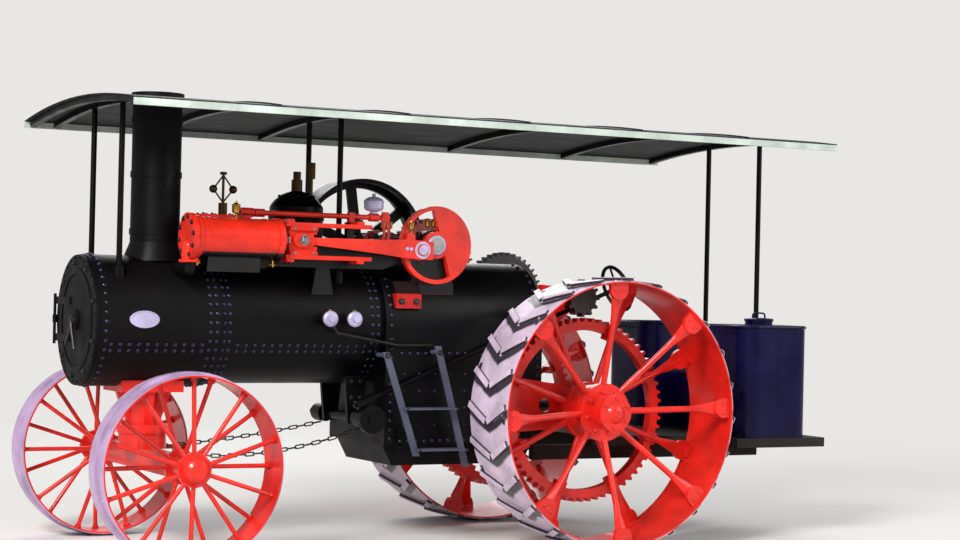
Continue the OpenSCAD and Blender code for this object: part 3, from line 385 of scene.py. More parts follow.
# Rivet heads rubbed by rags: worn dark iron, with the sky's blue painted into their colour as a reflection,
# so the seams can be read
RUBBED_RIVETS_PAINTED_SKY = paint("rubbed_rivets_painted_sky_blue", "1e1c42", "2a2624", 0.3, dusting=0.2, bump_mm=0.2,
                      metallic=0.3, coat=0.1)
# Graphite paint baked by the fire: matt, brownish grey patches
SMOKEBOX_PAINT = paint("baked_graphite_paint", "060507", "2a2623", 0.5, dusting=0.2, bump_mm=0.8, gloss=0.14)
# Cast iron of the fire door, scaled grey-brown by the heat behind it
SCALED_IRON = paint("heat_scaled_cast_iron", "4a4139", "6a5444", 0.55, bump_mm=0.8, metallic=0.5)
# Black coach enamel on the tanks, with the sky's blue painted into its colour as a reflection: the glossiest
# paint of the machine
TANK_PAINT = paint("black_coach_enamel_painted_sky_blue", "0b0838", "222236", 0.26, dusting=0.12, bump_mm=0.2,
                   coat=0.05, gloss=0.15)
# Machined steel: bright, with a film of oil that dulls it in patches
BRIGHT_STEEL = paint("oiled_machined_steel", STEEL_GREY, "6a5c48", 0.24, dusting=0.4, bump_mm=0.1,
                     metallic=1.0)
# Rolled steel that is never painted: brown-grey, greasy
OILY_STEEL = paint("greasy_rolled_steel", "4c4a4a", "3b342b", 0.4, dusting=0.5, bump_mm=0.3, metallic=1.0)
# Yellow brass of valves and oilers, slightly tarnished
BRASS = paint("tarnished_brass", "c79a45", "6a5530", 0.24, dusting=0.3, bump_mm=0.1, metallic=1.0)
# Aluminium paint on the bright fittings: soft, its paleness partly a painted sun glint and its lilac a
# painted reflection of the sky
PALE_METAL_PAINTED_GLINT = paint("aluminium_paint_with_painted_glint_and_sky", "c6bfe1", "8e88a4", 0.36, dusting=0.2, bump_mm=0.1,
                   metallic=0.2)
# Bronze darkened by heat and smoke
SMOKED_BRONZE = paint("smoked_bronze", "4b3a26", "2c2620", 0.38, dusting=0.4, bump_mm=0.2, metallic=1.0)
# Grey machine paint of the step ladder, worn on the treads; its blue is a painted reflection of the sky
LADDER_PAINT = paint("worn_grey_paint_painted_sky_blue", "4c5266", "6b675f", 0.45, dusting=0.5)
# Rivet heads on the tread, scoured like the rim, in the front tread's colour with its painted lilac
# reflection of the sky
SCOURED_IRON_PAINTED_SKY = paint("scoured_iron_painted_sky", FRONT_TREAD_PAINTED_SKY, TREAD_DUST, 0.4, dusting=0.25)
# Red crosshead, and the bare piston rod ahead of it
CROSSHEAD_PAINT = paint_two_tone("red_crosshead_and_bright_rod", ENGINE_RED, STEEL_GREY,
                                 CROSS_X + REAR_X + 0.095, "6a4a3c", 0.3, axis="X", metal=True)
# Black feed pipe up to the brass of the check valves
VALVE_PAINT = paint_two_tone("black_pipe_and_brass_valves", MATT_BLACK, "b98c3e", 1.36, "5a4c30",
                             0.34, metal=True)
# Pale greenish white paint on the canopy's edges
EDGE_PAINT = paint("pale_green_white_paint", "c8d6ca", "8f958c", 0.45, dusting=0.4)
# Tarred boards of the canopy and oiled boards of the deck
ROOF_BOARDS = boards("tarred_roof_boards", "202225", "0b0b0c", 0.11, "3c3d40", 0.65)
DECK_BOARDS = boards("oiled_oak_deck_boards", "2a241f", "0c0a09", 0.12, "6b6155", 0.65)
# Crimson enamel inside the rims, iron scoured pale by the road on the treads, with the sky's lilac painted
# in as a reflection; the rear tread is painted paler as if in sun, and carries painted lug shadows and flank
# shade
REAR_PAINT = paint_wheel("crimson_enamel_scoured_tread_painted_sun_sky_and_lug_shade", WHEEL_RED, REAR_TREAD_PAINTED_SUN_AND_SKY, LUG_SHADE_AND_SOIL,
                         REAR_X, REAR_Z, RIM_R, LUG_TOP_R)
FRONT_PAINT = paint_wheel("crimson_enamel_scoured_rib_painted_sky", WHEEL_RED, FRONT_TREAD_PAINTED_SKY, LUG_SHADE_AND_SOIL,
                          REAR_X + WHEELBASE, FRONT_Z, FRONT_TREAD_R, None)
# White enamelled dial of the pressure gauge
DIAL = paint("white_dial_enamel", "d9d6cc", "a89f8c", 0.3, dusting=0.2)

FINISH = {
    ENGINE_PAINT: "connecting_rod crank_disc valve_gear",
    CYLINDER_PAINT: "cylinder",
    BED_PAINT: "engine_bed",
    BEARING_PAINT: "main_bearings",
    WHEEL_PAINT: "gear_train axle_brackets bull_gear_left bull_gear_right front_bolster front_axle",
    REAR_PAINT: "rear_wheel_left rear_wheel_right",
    FRONT_PAINT: "front_wheel_left front_wheel_right",
    BOILER_PAINT: "boiler_barrel firebox steam_dome steam_pipe canopy_frame drawbar steering_column "
                  "flywheel steering_roller",
    LADDER_PAINT: "step_ladder",
    CROSSHEAD_PAINT: "crosshead",
    VALVE_PAINT: "check_valves",
    SMOKED_BRONZE: "safety_valve governor",
    SMOKEBOX_PAINT: "smokebox smokebox_door chimney",
    SCALED_IRON: "fire_door",
    TANK_PAINT: "water_tank coal_bunker tool_box",
    BRIGHT_STEEL: "crankshaft",
    OILY_STEEL: "countershaft rear_axle steering_chains",
    BRASS: "backhead_fittings",
    ROOF_BOARDS: "canopy_roof",
    DECK_BOARDS: "deck",
    EDGE_PAINT: "canopy_edges",
}
for finish, names in FINISH.items():
    for name in names.split():
        NODES[name].data.materials.clear()
        NODES[name].data.materials.append(finish)


# Mesh tools

def turns(n, start=0.0):
    """Angles of n even steps round a circle."""
    return [2 * math.pi * i / n + start for i in range(n)]


def spread(axis, n, start=0.0):
    """Directions at even steps round an axis."""
    axis = Vector(axis).normalized()
    side = axis.orthogonal().normalized()
    other = axis.cross(side)
    return [side * math.cos(a) + other * math.sin(a) for a in turns(n, start)]


def skin(bm, rows, closed=True):
    """Faces between neighbouring rows of vertices; a row may be a single point."""
    n = max(len(row) for row in rows)
    for low, high in zip(rows, rows[1:]):
        for i in range(n if closed else n - 1):
            j = (i + 1) % n
            corners = [low[i % len(low)], low[j % len(low)], high[j % len(high)], high[i % len(high)]]
            bm.faces.new([v for k, v in enumerate(corners) if v not in corners[:k]])


def close_ends(bm, rows):
    """Caps on the first and the last row."""
    bm.faces.new(rows[0][::-1])
    bm.faces.new(rows[-1])


def turned(bm, place, axis, profile, sides=16):
    """A body turned about an axis, from points of (radius, height); a radius of 0 closes it."""
    along = Vector(axis).normalized()
    outward = spread(axis, sides)
    rows = []
    for radius, height in profile:
        centre = place + along * height
        rows.append([bm.verts.new(centre + out * radius) for out in (outward if radius else outward[:1])])
    skin(bm, rows)


def band(bm, place, axis, inner, outer, width, sides=64):
    """Flat hoop."""
    turned(bm, place, axis, [(inner, 0), (outer, 0), (outer, width), (inner, width)], sides)


def rivet(bm, place, axis, r=0.012):
    turned(bm, place, axis, [(r, -0.15 * r), (0.95 * r, 0.35 * r), (0.6 * r, 0.66 * r), (0, 0.78 * r)], 8)


def bolt(bm, place, axis, r=0.012):
    """Hexagon head with a chamfer, on a round washer."""
    turned(bm, place, axis, [(1.5 * r, -0.1 * r), (1.5 * r, 0.25 * r), (0, 0.25 * r)], 12)
    turned(bm, place, axis, [(1.12 * r, 0.2 * r), (1.12 * r, 1.0 * r), (0.9 * r, 1.2 * r), (0, 1.2 * r)], 6)


def ring(bm, place, axis, n, radius, maker, r, start=0.0):
    """Fasteners spaced evenly on a circle, all facing along the axis."""
    for out in spread(axis, n, start):
        maker(bm, place + out * radius, axis, r)


def tube(bm, points, r, sides=10, closed=False):
    """Round bar or pipe along points, with the section carried along without twist."""
    points = [Vector(p) for p in points]
    n = len(points)
    across = None
    rows = []
    for i, p in enumerate(points):
        ahead = points[(i + 1) % n] if closed or i < n - 1 else p
        behind = points[i - 1] if closed or i > 0 else p
        along = (ahead - behind).normalized()
        if across is None:
            across = along.orthogonal()
        across = (across - along * across.dot(along)).normalized()
        over = along.cross(across)
        rows.append([bm.verts.new(p + (across * math.cos(a) + over * math.sin(a)) * r)
                     for a in turns(sides)])
    if closed:
        skin(bm, rows + rows[:1])
    else:
        skin(bm, rows)
        close_ends(bm, rows)


def paddle(bm, start, end, wide, first, last, sides=12, steps=5):
    """Bar whose oval section changes evenly; first and last give half its width and half its thickness."""
    thick = (end - start).normalized().cross(wide).normalized()
    rows = []
    for i in range(steps):
        t = i / (steps - 1)
        ease = t * t * (3 - 2 * t)
        half_w, half_t = (a + (b - a) * ease for a, b in zip(first, last))
        place = start.lerp(end, t)
        rows.append([bm.verts.new(place + wide * (math.cos(a) * half_w) + thick * (math.sin(a) * half_t))
                     for a in turns(sides)])
    skin(bm, rows)
    close_ends(bm, rows)


def curve_points(points, steps):
    """Smooth points through the given ones (Catmull-Rom)."""
    p = [Vector(v) for v in points]
    p = [2 * p[0] - p[1]] + p + [2 * p[-1] - p[-2]]
    out = []
    for i in range(1, len(p) - 2):
        for k in range(steps):
            t = k / steps
            out.append(0.5 * (2 * p[i] + (p[i + 1] - p[i - 1]) * t
                              + (2 * p[i - 1] - 5 * p[i] + 4 * p[i + 1] - p[i + 2]) * t * t
                              + (3 * p[i] - p[i - 1] - 3 * p[i + 1] + p[i + 2]) * t ** 3))
    out.append(p[-2])
    return out


def make(name, bm, material, body=None):
    """Turns the mesh into a piece with smooth rounds and crisp edges, riding on a body if one is given."""
    crease = math.radians(32)
    for f in bm.faces:
        f.smooth = True
    bmesh.ops.recalc_face_normals(bm, faces=bm.faces)
    mesh = bpy.data.meshes.new(name)
    bm.to_mesh(mesh)
    bm.free()
    mesh.set_sharp_from_angle(angle=crease)
    mesh.materials.append(material)
    obj = bpy.data.objects.new(name, mesh)
    scene.collection.objects.link(obj)
    if body:
        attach(obj, body)
    return obj


# Boiler

def on_barrel(x, angle, r):
    """Place and outward direction on a barrel-shaped shell; the angle is 0 at the left side, 90 on top."""
    out = Vector((0, math.cos(angle), math.sin(angle)))
    return at(x, 0, BOILER_Z) + out * r, out


def boiler_rivets():
    bm = bmesh.new()
    pitch = 0.055
    hoops = [(x, BARREL_R) for x in (1.335, 1.375, 2.300, 2.335)]
    hoops += [(x, SMOKEBOX_R) for x in (2.385, 2.425, 3.055)]
    for x, r in hoops:
        for angle in turns(round(2 * math.pi * r / pitch)):
            rivet(bm, *on_barrel(x, angle, r))
    # Longitudinal double seam low on each side, through barrel and smokebox
    for drop in (0.13, 0.165):
        for r, x0, x1 in ((BARREL_R, 1.42, 2.27), (SMOKEBOX_R, 2.47, 3.03)):
            low = -math.asin(drop / r)
            for i in range(int((x1 - x0) / pitch) + 1):
                for angle in (low, math.pi - low):
                    rivet(bm, *on_barrel(x0 + i * pitch, angle, r))
    # Firebox: a hoop at each end that runs on down the sides, and two rows along each side
    hoop_step = math.radians(9)
    hoop_foot = 0.66
    row_x, row_zs = 0.31, (1.18, 0.645)
    for x in (0.235, 1.262):
        for i in range(21):
            rivet(bm, *on_barrel(x, hoop_step * i, FIREBOX_R))
        for side in (-1, 1):
            for i in range(12):
                rivet(bm, at(x, side * FIREBOX_R, hoop_foot + i * pitch), (0, side, 0))
    for side in (-1, 1):
        for i in range(17):
            for z in row_zs:
                rivet(bm, at(row_x + i * pitch, side * FIREBOX_R, z), (0, side, 0))
    # Stay bolts on the flat between the rows
    stay_x, stay_z, stay_pitch = 0.33, 0.74, 0.105
    for side in (-1, 1):
        for i in range(9):
            for k in range(4):
                place = at(stay_x + i * stay_pitch, side * FIREBOX_R, stay_z + k * stay_pitch)
                rivet(bm, place, (0, side, 0), 0.009)
    make("boiler_rivets", bm, RUBBED_RIVETS_PAINTED_SKY, "chassis")


def boiler_fittings():
    """Mud hole plugs, the dome's band and bolts, and the chimney's bands, seam and collar."""
    plug = [(0.045, -0.002), (0.045, 0.012), (0.022, 0.014), (0.022, 0.03), (0, 0.03)]
    stack_inner = STACK_R - 0.001
    bm = bmesh.new()
    for x in (0.32, 1.17):
        for side in (-1, 1):
            turned(bm, at(x, side * FIREBOX_R, 0.70), (0, side, 0), plug, 20)
    band(bm, at(DOME_X, 0, 1.98), UP, 0.164, 0.172, 0.03)
    ring(bm, at(DOME_X, 0, 2.125), UP, 12, 0.105, bolt, 0.009)
    for z in (1.86, 2.20, 2.52):
        band(bm, at(STACK_X, 0, z), UP, stack_inner, STACK_R + 0.006, 0.035)
    seam_foot, seam_pitch = 1.93, 0.03
    for i in range(20):
        rivet(bm, at(STACK_X, STACK_R, seam_foot + i * seam_pitch), LEFT, 0.006)
    make("chimney_bands", bm, SMOKEBOX_PAINT, "chassis")
    # Sheet collar that closes the gap between the chimney and the hole in the roof
    collar = [(stack_inner, -0.003), (0.203, -0.003), (0.205, 0.002), (0.160, 0.004), (0.152, 0.008),
              (stack_inner, 0.008)]
    bm = bmesh.new()
    turned(bm, at(STACK_X, 0, ROOF_TOP), UP, collar, 64)
    ring(bm, at(STACK_X, 0, ROOF_TOP + 0.0026), UP, 12, 0.188, rivet, 0.006)
    make("chimney_collar", bm, SMOKEBOX_PAINT, "chassis")


def smokebox_plate():
    """Blank oval plate, bent to the smokebox, with a raised rim and two screws."""
    half_l, half_h, x, z = 0.09, 0.05, 2.83, 1.365
    # Share of the half sizes, and height over the smokebox
    profile = ((0.0, 0.005), (0.84, 0.005), (0.88, 0.009), (0.96, 0.009), (1.0, 0.004), (1.0, -0.001))

    def spot(along, rise):
        return on_barrel(x + along, math.asin((z - BOILER_Z + rise) / SMOKEBOX_R), SMOKEBOX_R)

    bm = bmesh.new()
    rows = []
    for share, lift in profile:
        row = []
        for a in turns(48 if share else 1):
            place, out = spot(math.cos(a) * half_l * share, math.sin(a) * half_h * share)
            row.append(bm.verts.new(place + out * lift))
        rows.append(row)
    skin(bm, rows)
    for along in (-0.066, 0.066):
        place, out = spot(along, 0)
        rivet(bm, place + LEFT * 0.004, out, 0.005)
    make("smokebox_oval_plate", bm, PALE_METAL_PAINTED_GLINT, "chassis")


def smokebox_door_details():
    """Rivets and lip of the door, its two bent handles one over the other, and the bolts round its edge."""
    door = at(SMOKEBOX_X[1] + 0.024, 0, BOILER_Z)
    lip = [(0.30, -0.001), (0.30, 0.005), (0.285, 0.008), (0.27, 0.005), (0.27, -0.001)]
    bm = bmesh.new()
    ring(bm, door, AHEAD, 28, SMOKEBOX_R - 0.024, rivet, 0.008)
    turned(bm, door, AHEAD, lip, 72)
    make("smokebox_door_rivets", bm, SMOKEBOX_PAINT, "smokebox_door")
    hub = door + AHEAD * 0.016
    boss = [(0.03, 0), (0.03, 0.014), (0.018, 0.018), (0.018, 0.024), (0, 0.024)]
    bm = bmesh.new()
    turned(bm, hub, AHEAD, boss, 24)
    for bends in (((0.018, 0, 0), (0.02, 0.05, -0.10), (0.02, 0.09, -0.17)),
                  ((0.010, 0, 0), (0.012, -0.06, -0.09), (0.012, -0.11, -0.15))):
        tube(bm, [hub + Vector(bend) for bend in bends], 0.009)
    for degrees in range(20, 360, 40):
        angle = math.radians(degrees)
        out = Vector((0, math.cos(angle), math.sin(angle)))
        # The hinge takes the place of one bolt
        if out.y >= -0.9:
            bolt(bm, door + out * (SMOKEBOX_R - 0.05), AHEAD, 0.011)
    make("smokebox_door_handles", bm, OILY_STEEL, "smokebox_door")


# Engine

def oil_cup(bm, place, scale=1.0):
    """Brass drip oiler: foot, neck, round cup and lid."""
    profile = [(0.008, 0), (0.008, 0.012), (0.005, 0.014), (0.005, 0.022), (0.018, 0.028), (0.020, 0.034),
               (0.020, 0.062), (0.022, 0.064), (0.022, 0.068), (0.008, 0.075), (0.006, 0.084), (0, 0.086)]
    turned(bm, place, UP, [(r * scale, h * scale) for r, h in profile], 16)


def cylinder_details():
    """Bolts of the covers, the steam chest and the saddle, bands, oilers and drain cocks."""
    back, front = CYLINDER_X
    bm = bmesh.new()
    ring(bm, at(front + 0.030, ENGINE_Y, CRANK_Z), AHEAD, 10, 0.116, bolt, 0.010)
    ring(bm, at(back + 0.0005, ENGINE_Y, CRANK_Z), BACK, 10, 0.117, bolt, 0.006)
    chest_x, chest_pitch, chest_z = 2.21, 0.055, 1.985
    for y in (0.274, 0.368):
        for i in range(6):
            bolt(bm, at(chest_x + i * chest_pitch, y, chest_z), UP, 0.007)
    # The saddle's foot slopes with the boiler
    for x in (2.16, 2.43):
        for y, z in ((0.15, 1.731), (0.21, 1.7682)):
            bolt(bm, at(x, y, z), (0, -0.5, 0.8), 0.010)
    make("cylinder_bolts", bm, OILY_STEEL, "chassis")
    bm = bmesh.new()
    for x in (back + 0.085, front - 0.105):
        band(bm, at(x, ENGINE_Y, CRANK_Z), AHEAD, CYLINDER_R - 0.010, CYLINDER_R - 0.006, 0.02)
    make("cylinder_bands", bm, CYLINDER_PAINT, "chassis")
    bm = bmesh.new()
    oil_cup(bm, at(2.31, ENGINE_Y, CRANK_Z + CYLINDER_R - 0.011), 1.2)
    # Drain cocks with their handles under both ends of the cylinder
    cock_top, cock_foot, handle_z = CRANK_Z - CYLINDER_R + 0.002, CRANK_Z - 0.165, CRANK_Z - 0.150
    for x in (2.075, 2.545):
        tube(bm, [at(x, ENGINE_Y, cock_top), at(x, ENGINE_Y + 0.004, cock_foot)], 0.007)
        tube(bm, [at(x - 0.02, ENGINE_Y, handle_z), at(x + 0.02, ENGINE_Y, handle_z)], 0.005)
    for dx in (-0.022, 0.022):
        for side in (-1, 1):
            oil_cup(bm, at(CRANK_X + dx, side * BEARING_Y, CRANK_Z + 0.091), 0.9)
    make("engine_brasses", bm, BRASS, "chassis")


def oil_pot_and_bonnets():
    """Oil pot over the valve rod's collar, with domed lid and knob, and the bonnets of two feed valves."""
    pot = [(0.022, 0), (0.022, 0.012), (0.052, 0.022), (0.060, 0.034), (0.060, 0.066), (0.063, 0.068),
           (0.063, 0.076), (0.052, 0.090), (0.030, 0.101), (0.010, 0.104), (0.010, 0.110), (0.014, 0.114),
           (0.010, 0.122), (0, 0.124)]
    bonnet = [(0.047, 0), (0.047, 0.018), (0.038, 0.026), (0.020, 0.028), (0.020, 0.046), (0, 0.046)]
    bm = bmesh.new()
    turned(bm, at(1.370, 0.33, 2.028), UP, pot, 36)
    for x in (1.530, 1.690):
        turned(bm, at(x, 0.430, 1.385), LEFT, bonnet, 24)
    make("oil_pot_and_valve_bonnets", bm, PALE_METAL_PAINTED_GLINT, "chassis")


def bearing_nuts():
    """Nuts of the bearing caps and feet, and of the guide bars' ends above and below."""
    bm = bmesh.new()
    for side in (-1, 1):
        for dx in (-0.078, 0.078):
            bolt(bm, at(CRANK_X + dx, side * BEARING_Y, CRANK_Z + 0.0625), UP, 0.016)
        for x in (1.105, 1.205):
            bolt(bm, at(x, side * 0.410, 1.497), (0, side, 0), 0.014)
    for x in (1.52, 1.975):
        for dz, way in ((0.1225, 1), (-0.1315, -1)):
            for y in (0.408, 0.472):
                bolt(bm, at(x, y, CRANK_Z + dz), (0, 0, way), 0.010)
    make("engine_nuts", bm, OILY_STEEL, "chassis")


def crosshead_details():
    """Pin nut and slipper bolts on each cheek, and the nut where the piston rod enters."""
    bm = bmesh.new()
    for side in (-1, 1):
        cheek_y = ENGINE_Y + side * 0.044
        bolt(bm, at(CROSS_X, cheek_y, CRANK_Z), (0, side, 0), 0.022)
        for dx in (-0.060, 0.060):
            for dz in (-0.0775, 0.0685):
                bolt(bm, at(CROSS_X + dx, cheek_y, CRANK_Z + dz), (0, side, 0), 0.007)
    bolt(bm, at(CROSS_X + 0.088, ENGINE_Y, CRANK_Z), AHEAD, 0.024)
    make("crosshead_nuts", bm, BRIGHT_STEEL, "crosshead")


def rod_details():
    """Bushes, oiler, bolts, washers and pin cap of the connecting rod, and the crank disc's collar."""
    slope = math.asin((CRANK_Z - PIN_Z) / ROD_L)
    along = Vector((math.cos(slope), 0, math.sin(slope)))
    over = Vector((-math.sin(slope), 0, math.cos(slope)))
    pin = at(PIN_X, ENGINE_Y, PIN_Z)
    bush = [(0.036, -0.001), (0.036, 0.0018), (0.024, 0.0018), (0.024, -0.001)]
    washer = [(0.052, -0.001), (0.052, 0.004), (0.037, 0.004), (0.037, -0.001)]
    cap = [(0.030, -0.001), (0.030, 0.006), (0.014, 0.009), (0, 0.009)]
    collar = [(0.060, 0), (0.060, 0.007), (0.056, 0.010), (0.03, 0.010), (0.03, 0)]
    bm = bmesh.new()
    for side in (-1, 1):
        turned(bm, pin + along * ROD_L + LEFT * side * ROD_SIDE, (0, side, 0), bush, 32)
    oil_cup(bm, pin + along * 0.079 + over * 0.097, 0.9)
    make("rod_brasses", bm, BRASS, "connecting_rod")
    bm = bmesh.new()
    for reach in (0.078, 0.105):
        bolt(bm, pin + along * reach + LEFT * ROD_SIDE, LEFT, 0.008)
    for side in (-1, 1):
        turned(bm, pin + LEFT * side * ROD_SIDE, (0, side, 0), washer, 40)
    turned(bm, pin + LEFT * 0.0258, LEFT, cap, 24)
    make("rod_bolts", bm, PALE_METAL_PAINTED_GLINT, "connecting_rod")
    # Turned collar that locks the disc on the shaft
    bm = bmesh.new()
    turned(bm, at(CRANK_X, ENGINE_Y - 0.0362, CRANK_Z), LEFT, collar, 48)
    make("crank_disc_collar", bm, PALE_METAL_PAINTED_GLINT, "crankshaft")


# Wheels

def in_wheel(angle):
    """Direction in a wheel's plane, from the top and round ahead."""
    return Vector((math.sin(angle), 0, math.cos(angle)))


def rear_wheel_bolts(name, side):
    """Two rings of hub bolts, and each spoke's broad end with the rivets of its ear."""
    bm = bmesh.new()
    hub = at(0, side * REAR_Y, REAR_Z)
    outer = LEFT * side
    ring(bm, hub + outer * 0.020, (0, side, 0), 8, 0.133, bolt, 0.013, 0.2)
    ring(bm, hub + outer * 0.142, (0, side, 0), 6, 0.090, bolt, 0.009, 0.2)
    for i, angle in enumerate(turns(SPOKES, SPOKE_TURN)):
        row = 1 if i % 2 == 0 else -1
        out = in_wheel(angle)
        wide = Vector((out.z, 0, -out.x))
        # The spokes slant from the two flanges of the hub to ears on both sides of the rim,
        # and each is forged broad and flat where it meets its ear
        foot = hub + out * 0.140 + outer * (-0.008 if row > 0 else -0.198)
        tip = hub + out * 0.766 + outer * row * EAR_Y
        ear = hub + out * 0.760 + outer * row * (EAR_Y + 0.015)
        paddle(bm, foot.lerp(tip, 0.66), foot.lerp(tip, 0.985), wide, (0.0192, 0.0192), (0.046, 0.0165))
        for k in (-1, 1):
            rivet(bm, ear + wide * 0.030 * k, (0, side * row, 0), 0.011)
    make("rear_wheel_bolts_" + name, bm, WHEEL_PAINT, "rear_wheel_" + name)


def front_wheel_bolts(name, side):
    """A ring of hub bolts, and a nut inside the rim at each spoke."""
    bm = bmesh.new()
    hub = at(WHEELBASE, side * FRONT_Y, FRONT_Z)
    ring(bm, hub + LEFT * side * 0.121, (0, side, 0), 6, 0.088, bolt, 0.008, 0.3)
    for i, angle in enumerate(turns(FRONT_SPOKES)):
        out = in_wheel(angle)
        shift = LEFT * side * (0.07 if i % 2 == 0 else -0.07)
        bolt(bm, hub + out * (FRONT_TREAD_R - 0.014) + shift, -out, 0.017)
    make("front_wheel_bolts_" + name, bm, WHEEL_PAINT, "front_wheel_" + name)


def tread_rivets(wheel, hub, tread_r, n, reach):
    """Rivet heads on a tread, in two rows."""
    bm = bmesh.new()
    for i, angle in enumerate(turns(n)):
        out = in_wheel(angle)
        shift = LEFT * (reach if i % 2 == 0 else -reach)
        rivet(bm, hub + out * (tread_r + 0.0005) + shift, out, 0.009)
    make(wheel.replace("_wheel_", "_tread_rivets_"), bm, SCOURED_IRON_PAINTED_SKY, wheel)


def wheel_details():
    for name, side in (("left", 1), ("right", -1)):
        rear_wheel_bolts(name, side)
        front_wheel_bolts(name, side)
        tread_rivets("rear_wheel_" + name, at(0, side * REAR_Y, REAR_Z), RIM_R, SPOKES * 2, 0.17)
        tread_rivets("front_wheel_" + name, at(WHEELBASE, side * FRONT_Y, FRONT_Z), FRONT_TREAD_R,
                     FRONT_SPOKES, 0.07)


# Steering chains

def chain_links():
    """Two chains of welded oval links, hung from the roller's drum to the front axle."""
    links = 21
    bar_r, end_r, half_straight = 0.0042, 0.010, 0.020
    x0, x1 = 1.410, WHEELBASE - 0.161
    # The chain hangs from the underside of the roller's drum
    roller_z, drum_r, drop = 0.780, 0.055, 0.0054
    z0, z1 = roller_z - drum_r - drop, FRONT_Z + 0.036
    for name, y, sag in (("left", 0.300, 0.060), ("right", -0.300, 0.020)):
        bm = bmesh.new()
        for i in range(links):
            t = (i + 0.5) / links
            slope = (z1 - z0 - 4 * sag * (1 - 2 * t)) / (x1 - x0)
            centre = at(x0 + (x1 - x0) * t, y, z0 + (z1 - z0) * t - 4 * sag * t * (1 - t))
            along = Vector((1, 0, slope)).normalized()
            wide = LEFT if i % 2 == 0 else along.cross(LEFT)
            loop = [centre + along * (math.cos(a) * end_r + math.copysign(half_straight, math.cos(a)))
                    + wide * math.sin(a) * end_r for a in turns(16)]
            tube(bm, loop, bar_r, 6, closed=True)
        chain = make("steering_chain_" + name, bm, OILY_STEEL, None)
        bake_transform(chain)
        yield chain


# Tanks, deck and canopy

def tank_details():
    """Rivets and half round beading of water tank and coal bunker, and the tank's lid with its grip."""
    x0, x1 = TANK_X
    inner, outer = TANK_Y
    low, top = TANK_Z
    middle = (x0 + x1) / 2
    pitch = 0.048
    row_zs = (low + 0.03, top - 0.045)
    row_start = 0.125
    bm = bmesh.new()
    for side in (-1, 1):
        for z in row_zs:
            for i in range(7):
                rivet(bm, at(x0 + row_start + i * pitch, side * outer, z), (0, side, 0), 0.008)
                for x, way in ((x0, -1), (x1, 1)):
                    rivet(bm, at(x, side * (inner + row_start + i * pitch), z), (way, 0, 0), 0.008)
        for i in range(13):
            rivet(bm, at(middle, side * outer, low + 0.07 + i * pitch), (0, side, 0), 0.008)
    make("tank_rivets", bm, TANK_PAINT, "chassis")
    bm = bmesh.new()
    corner_r = 0.12
    bead_r = corner_r + 0.003
    ends = (x1 - corner_r, x0 + corner_r)
    sides = (outer - corner_r, inner + corner_r)
    corners = ((ends[0], sides[0]), (ends[1], sides[0]), (ends[1], sides[1]), (ends[0], sides[1]))
    for side in (-1, 1):
        bead = []
        for quarter, (cx, cy) in enumerate(corners):
            for k in range(9):
                a = math.radians(90 * quarter + 11.25 * k)
                bead.append(at(cx + math.cos(a) * bead_r, side * (cy + math.sin(a) * bead_r), top - 0.012))
        tube(bm, bead, 0.009, 8, closed=True)
    lid = at(middle, 0.62, top + 0.03)
    grip = ((-0.05, 0, 0.012), (-0.04, 0, 0.045), (0.04, 0, 0.045), (0.05, 0, 0.012))
    turned(bm, lid, UP, [(0.096, -0.006), (0.096, 0.010), (0.088, 0.014), (0.02, 0.018), (0, 0.018)], 40)
    tube(bm, curve_points([lid + Vector(p) for p in grip], 6), 0.006)
    make("tank_beading", bm, TANK_PAINT, "chassis")


def tool_box_fittings():
    """Lid rim, strap hinges and hasp of the tool box."""
    x0, x1 = TANK_X[0] + 0.024, TANK_X[0] + 0.300
    half, top = 0.272, TANK_Z[0] + 0.380
    rim_z, hasp_x, staple_z = top - 0.030, x0 - 0.001, top - 0.060
    bm = bmesh.new()
    rim = [at(x, y, rim_z) for x, y in ((x0, -half), (x1, -half), (x1, half), (x0, half))]
    for a, b in zip(rim, rim[1:] + rim[:1]):
        tube(bm, [a, b], 0.004, 6)
    for y in (-0.170, 0.170):
        paddle(bm, at(x1 - 0.004, y, top), at(x0 + 0.070, y, top), LEFT, (0.018, 0.004), (0.009, 0.003))
        tube(bm, [at(x1 + 0.002, y + dy, top - 0.004) for dy in (-0.022, 0.022)], 0.007, 12)
        for x in (x1 - 0.050, x1 - 0.110, x1 - 0.170):
            rivet(bm, at(x, y, top + 0.002), UP, 0.007)
    paddle(bm, at(hasp_x, 0, top - 0.004), at(hasp_x, 0, top - 0.085), LEFT, (0.020, 0.004), (0.014, 0.004))
    staple = ((x0, -0.008), (x0 - 0.016, -0.006), (x0 - 0.016, 0.006), (x0, 0.008))
    tube(bm, curve_points([at(x, y, staple_z) for x, y in staple], 4), 0.003, 8)
    make("tool_box_fittings", bm, OILY_STEEL, "chassis")


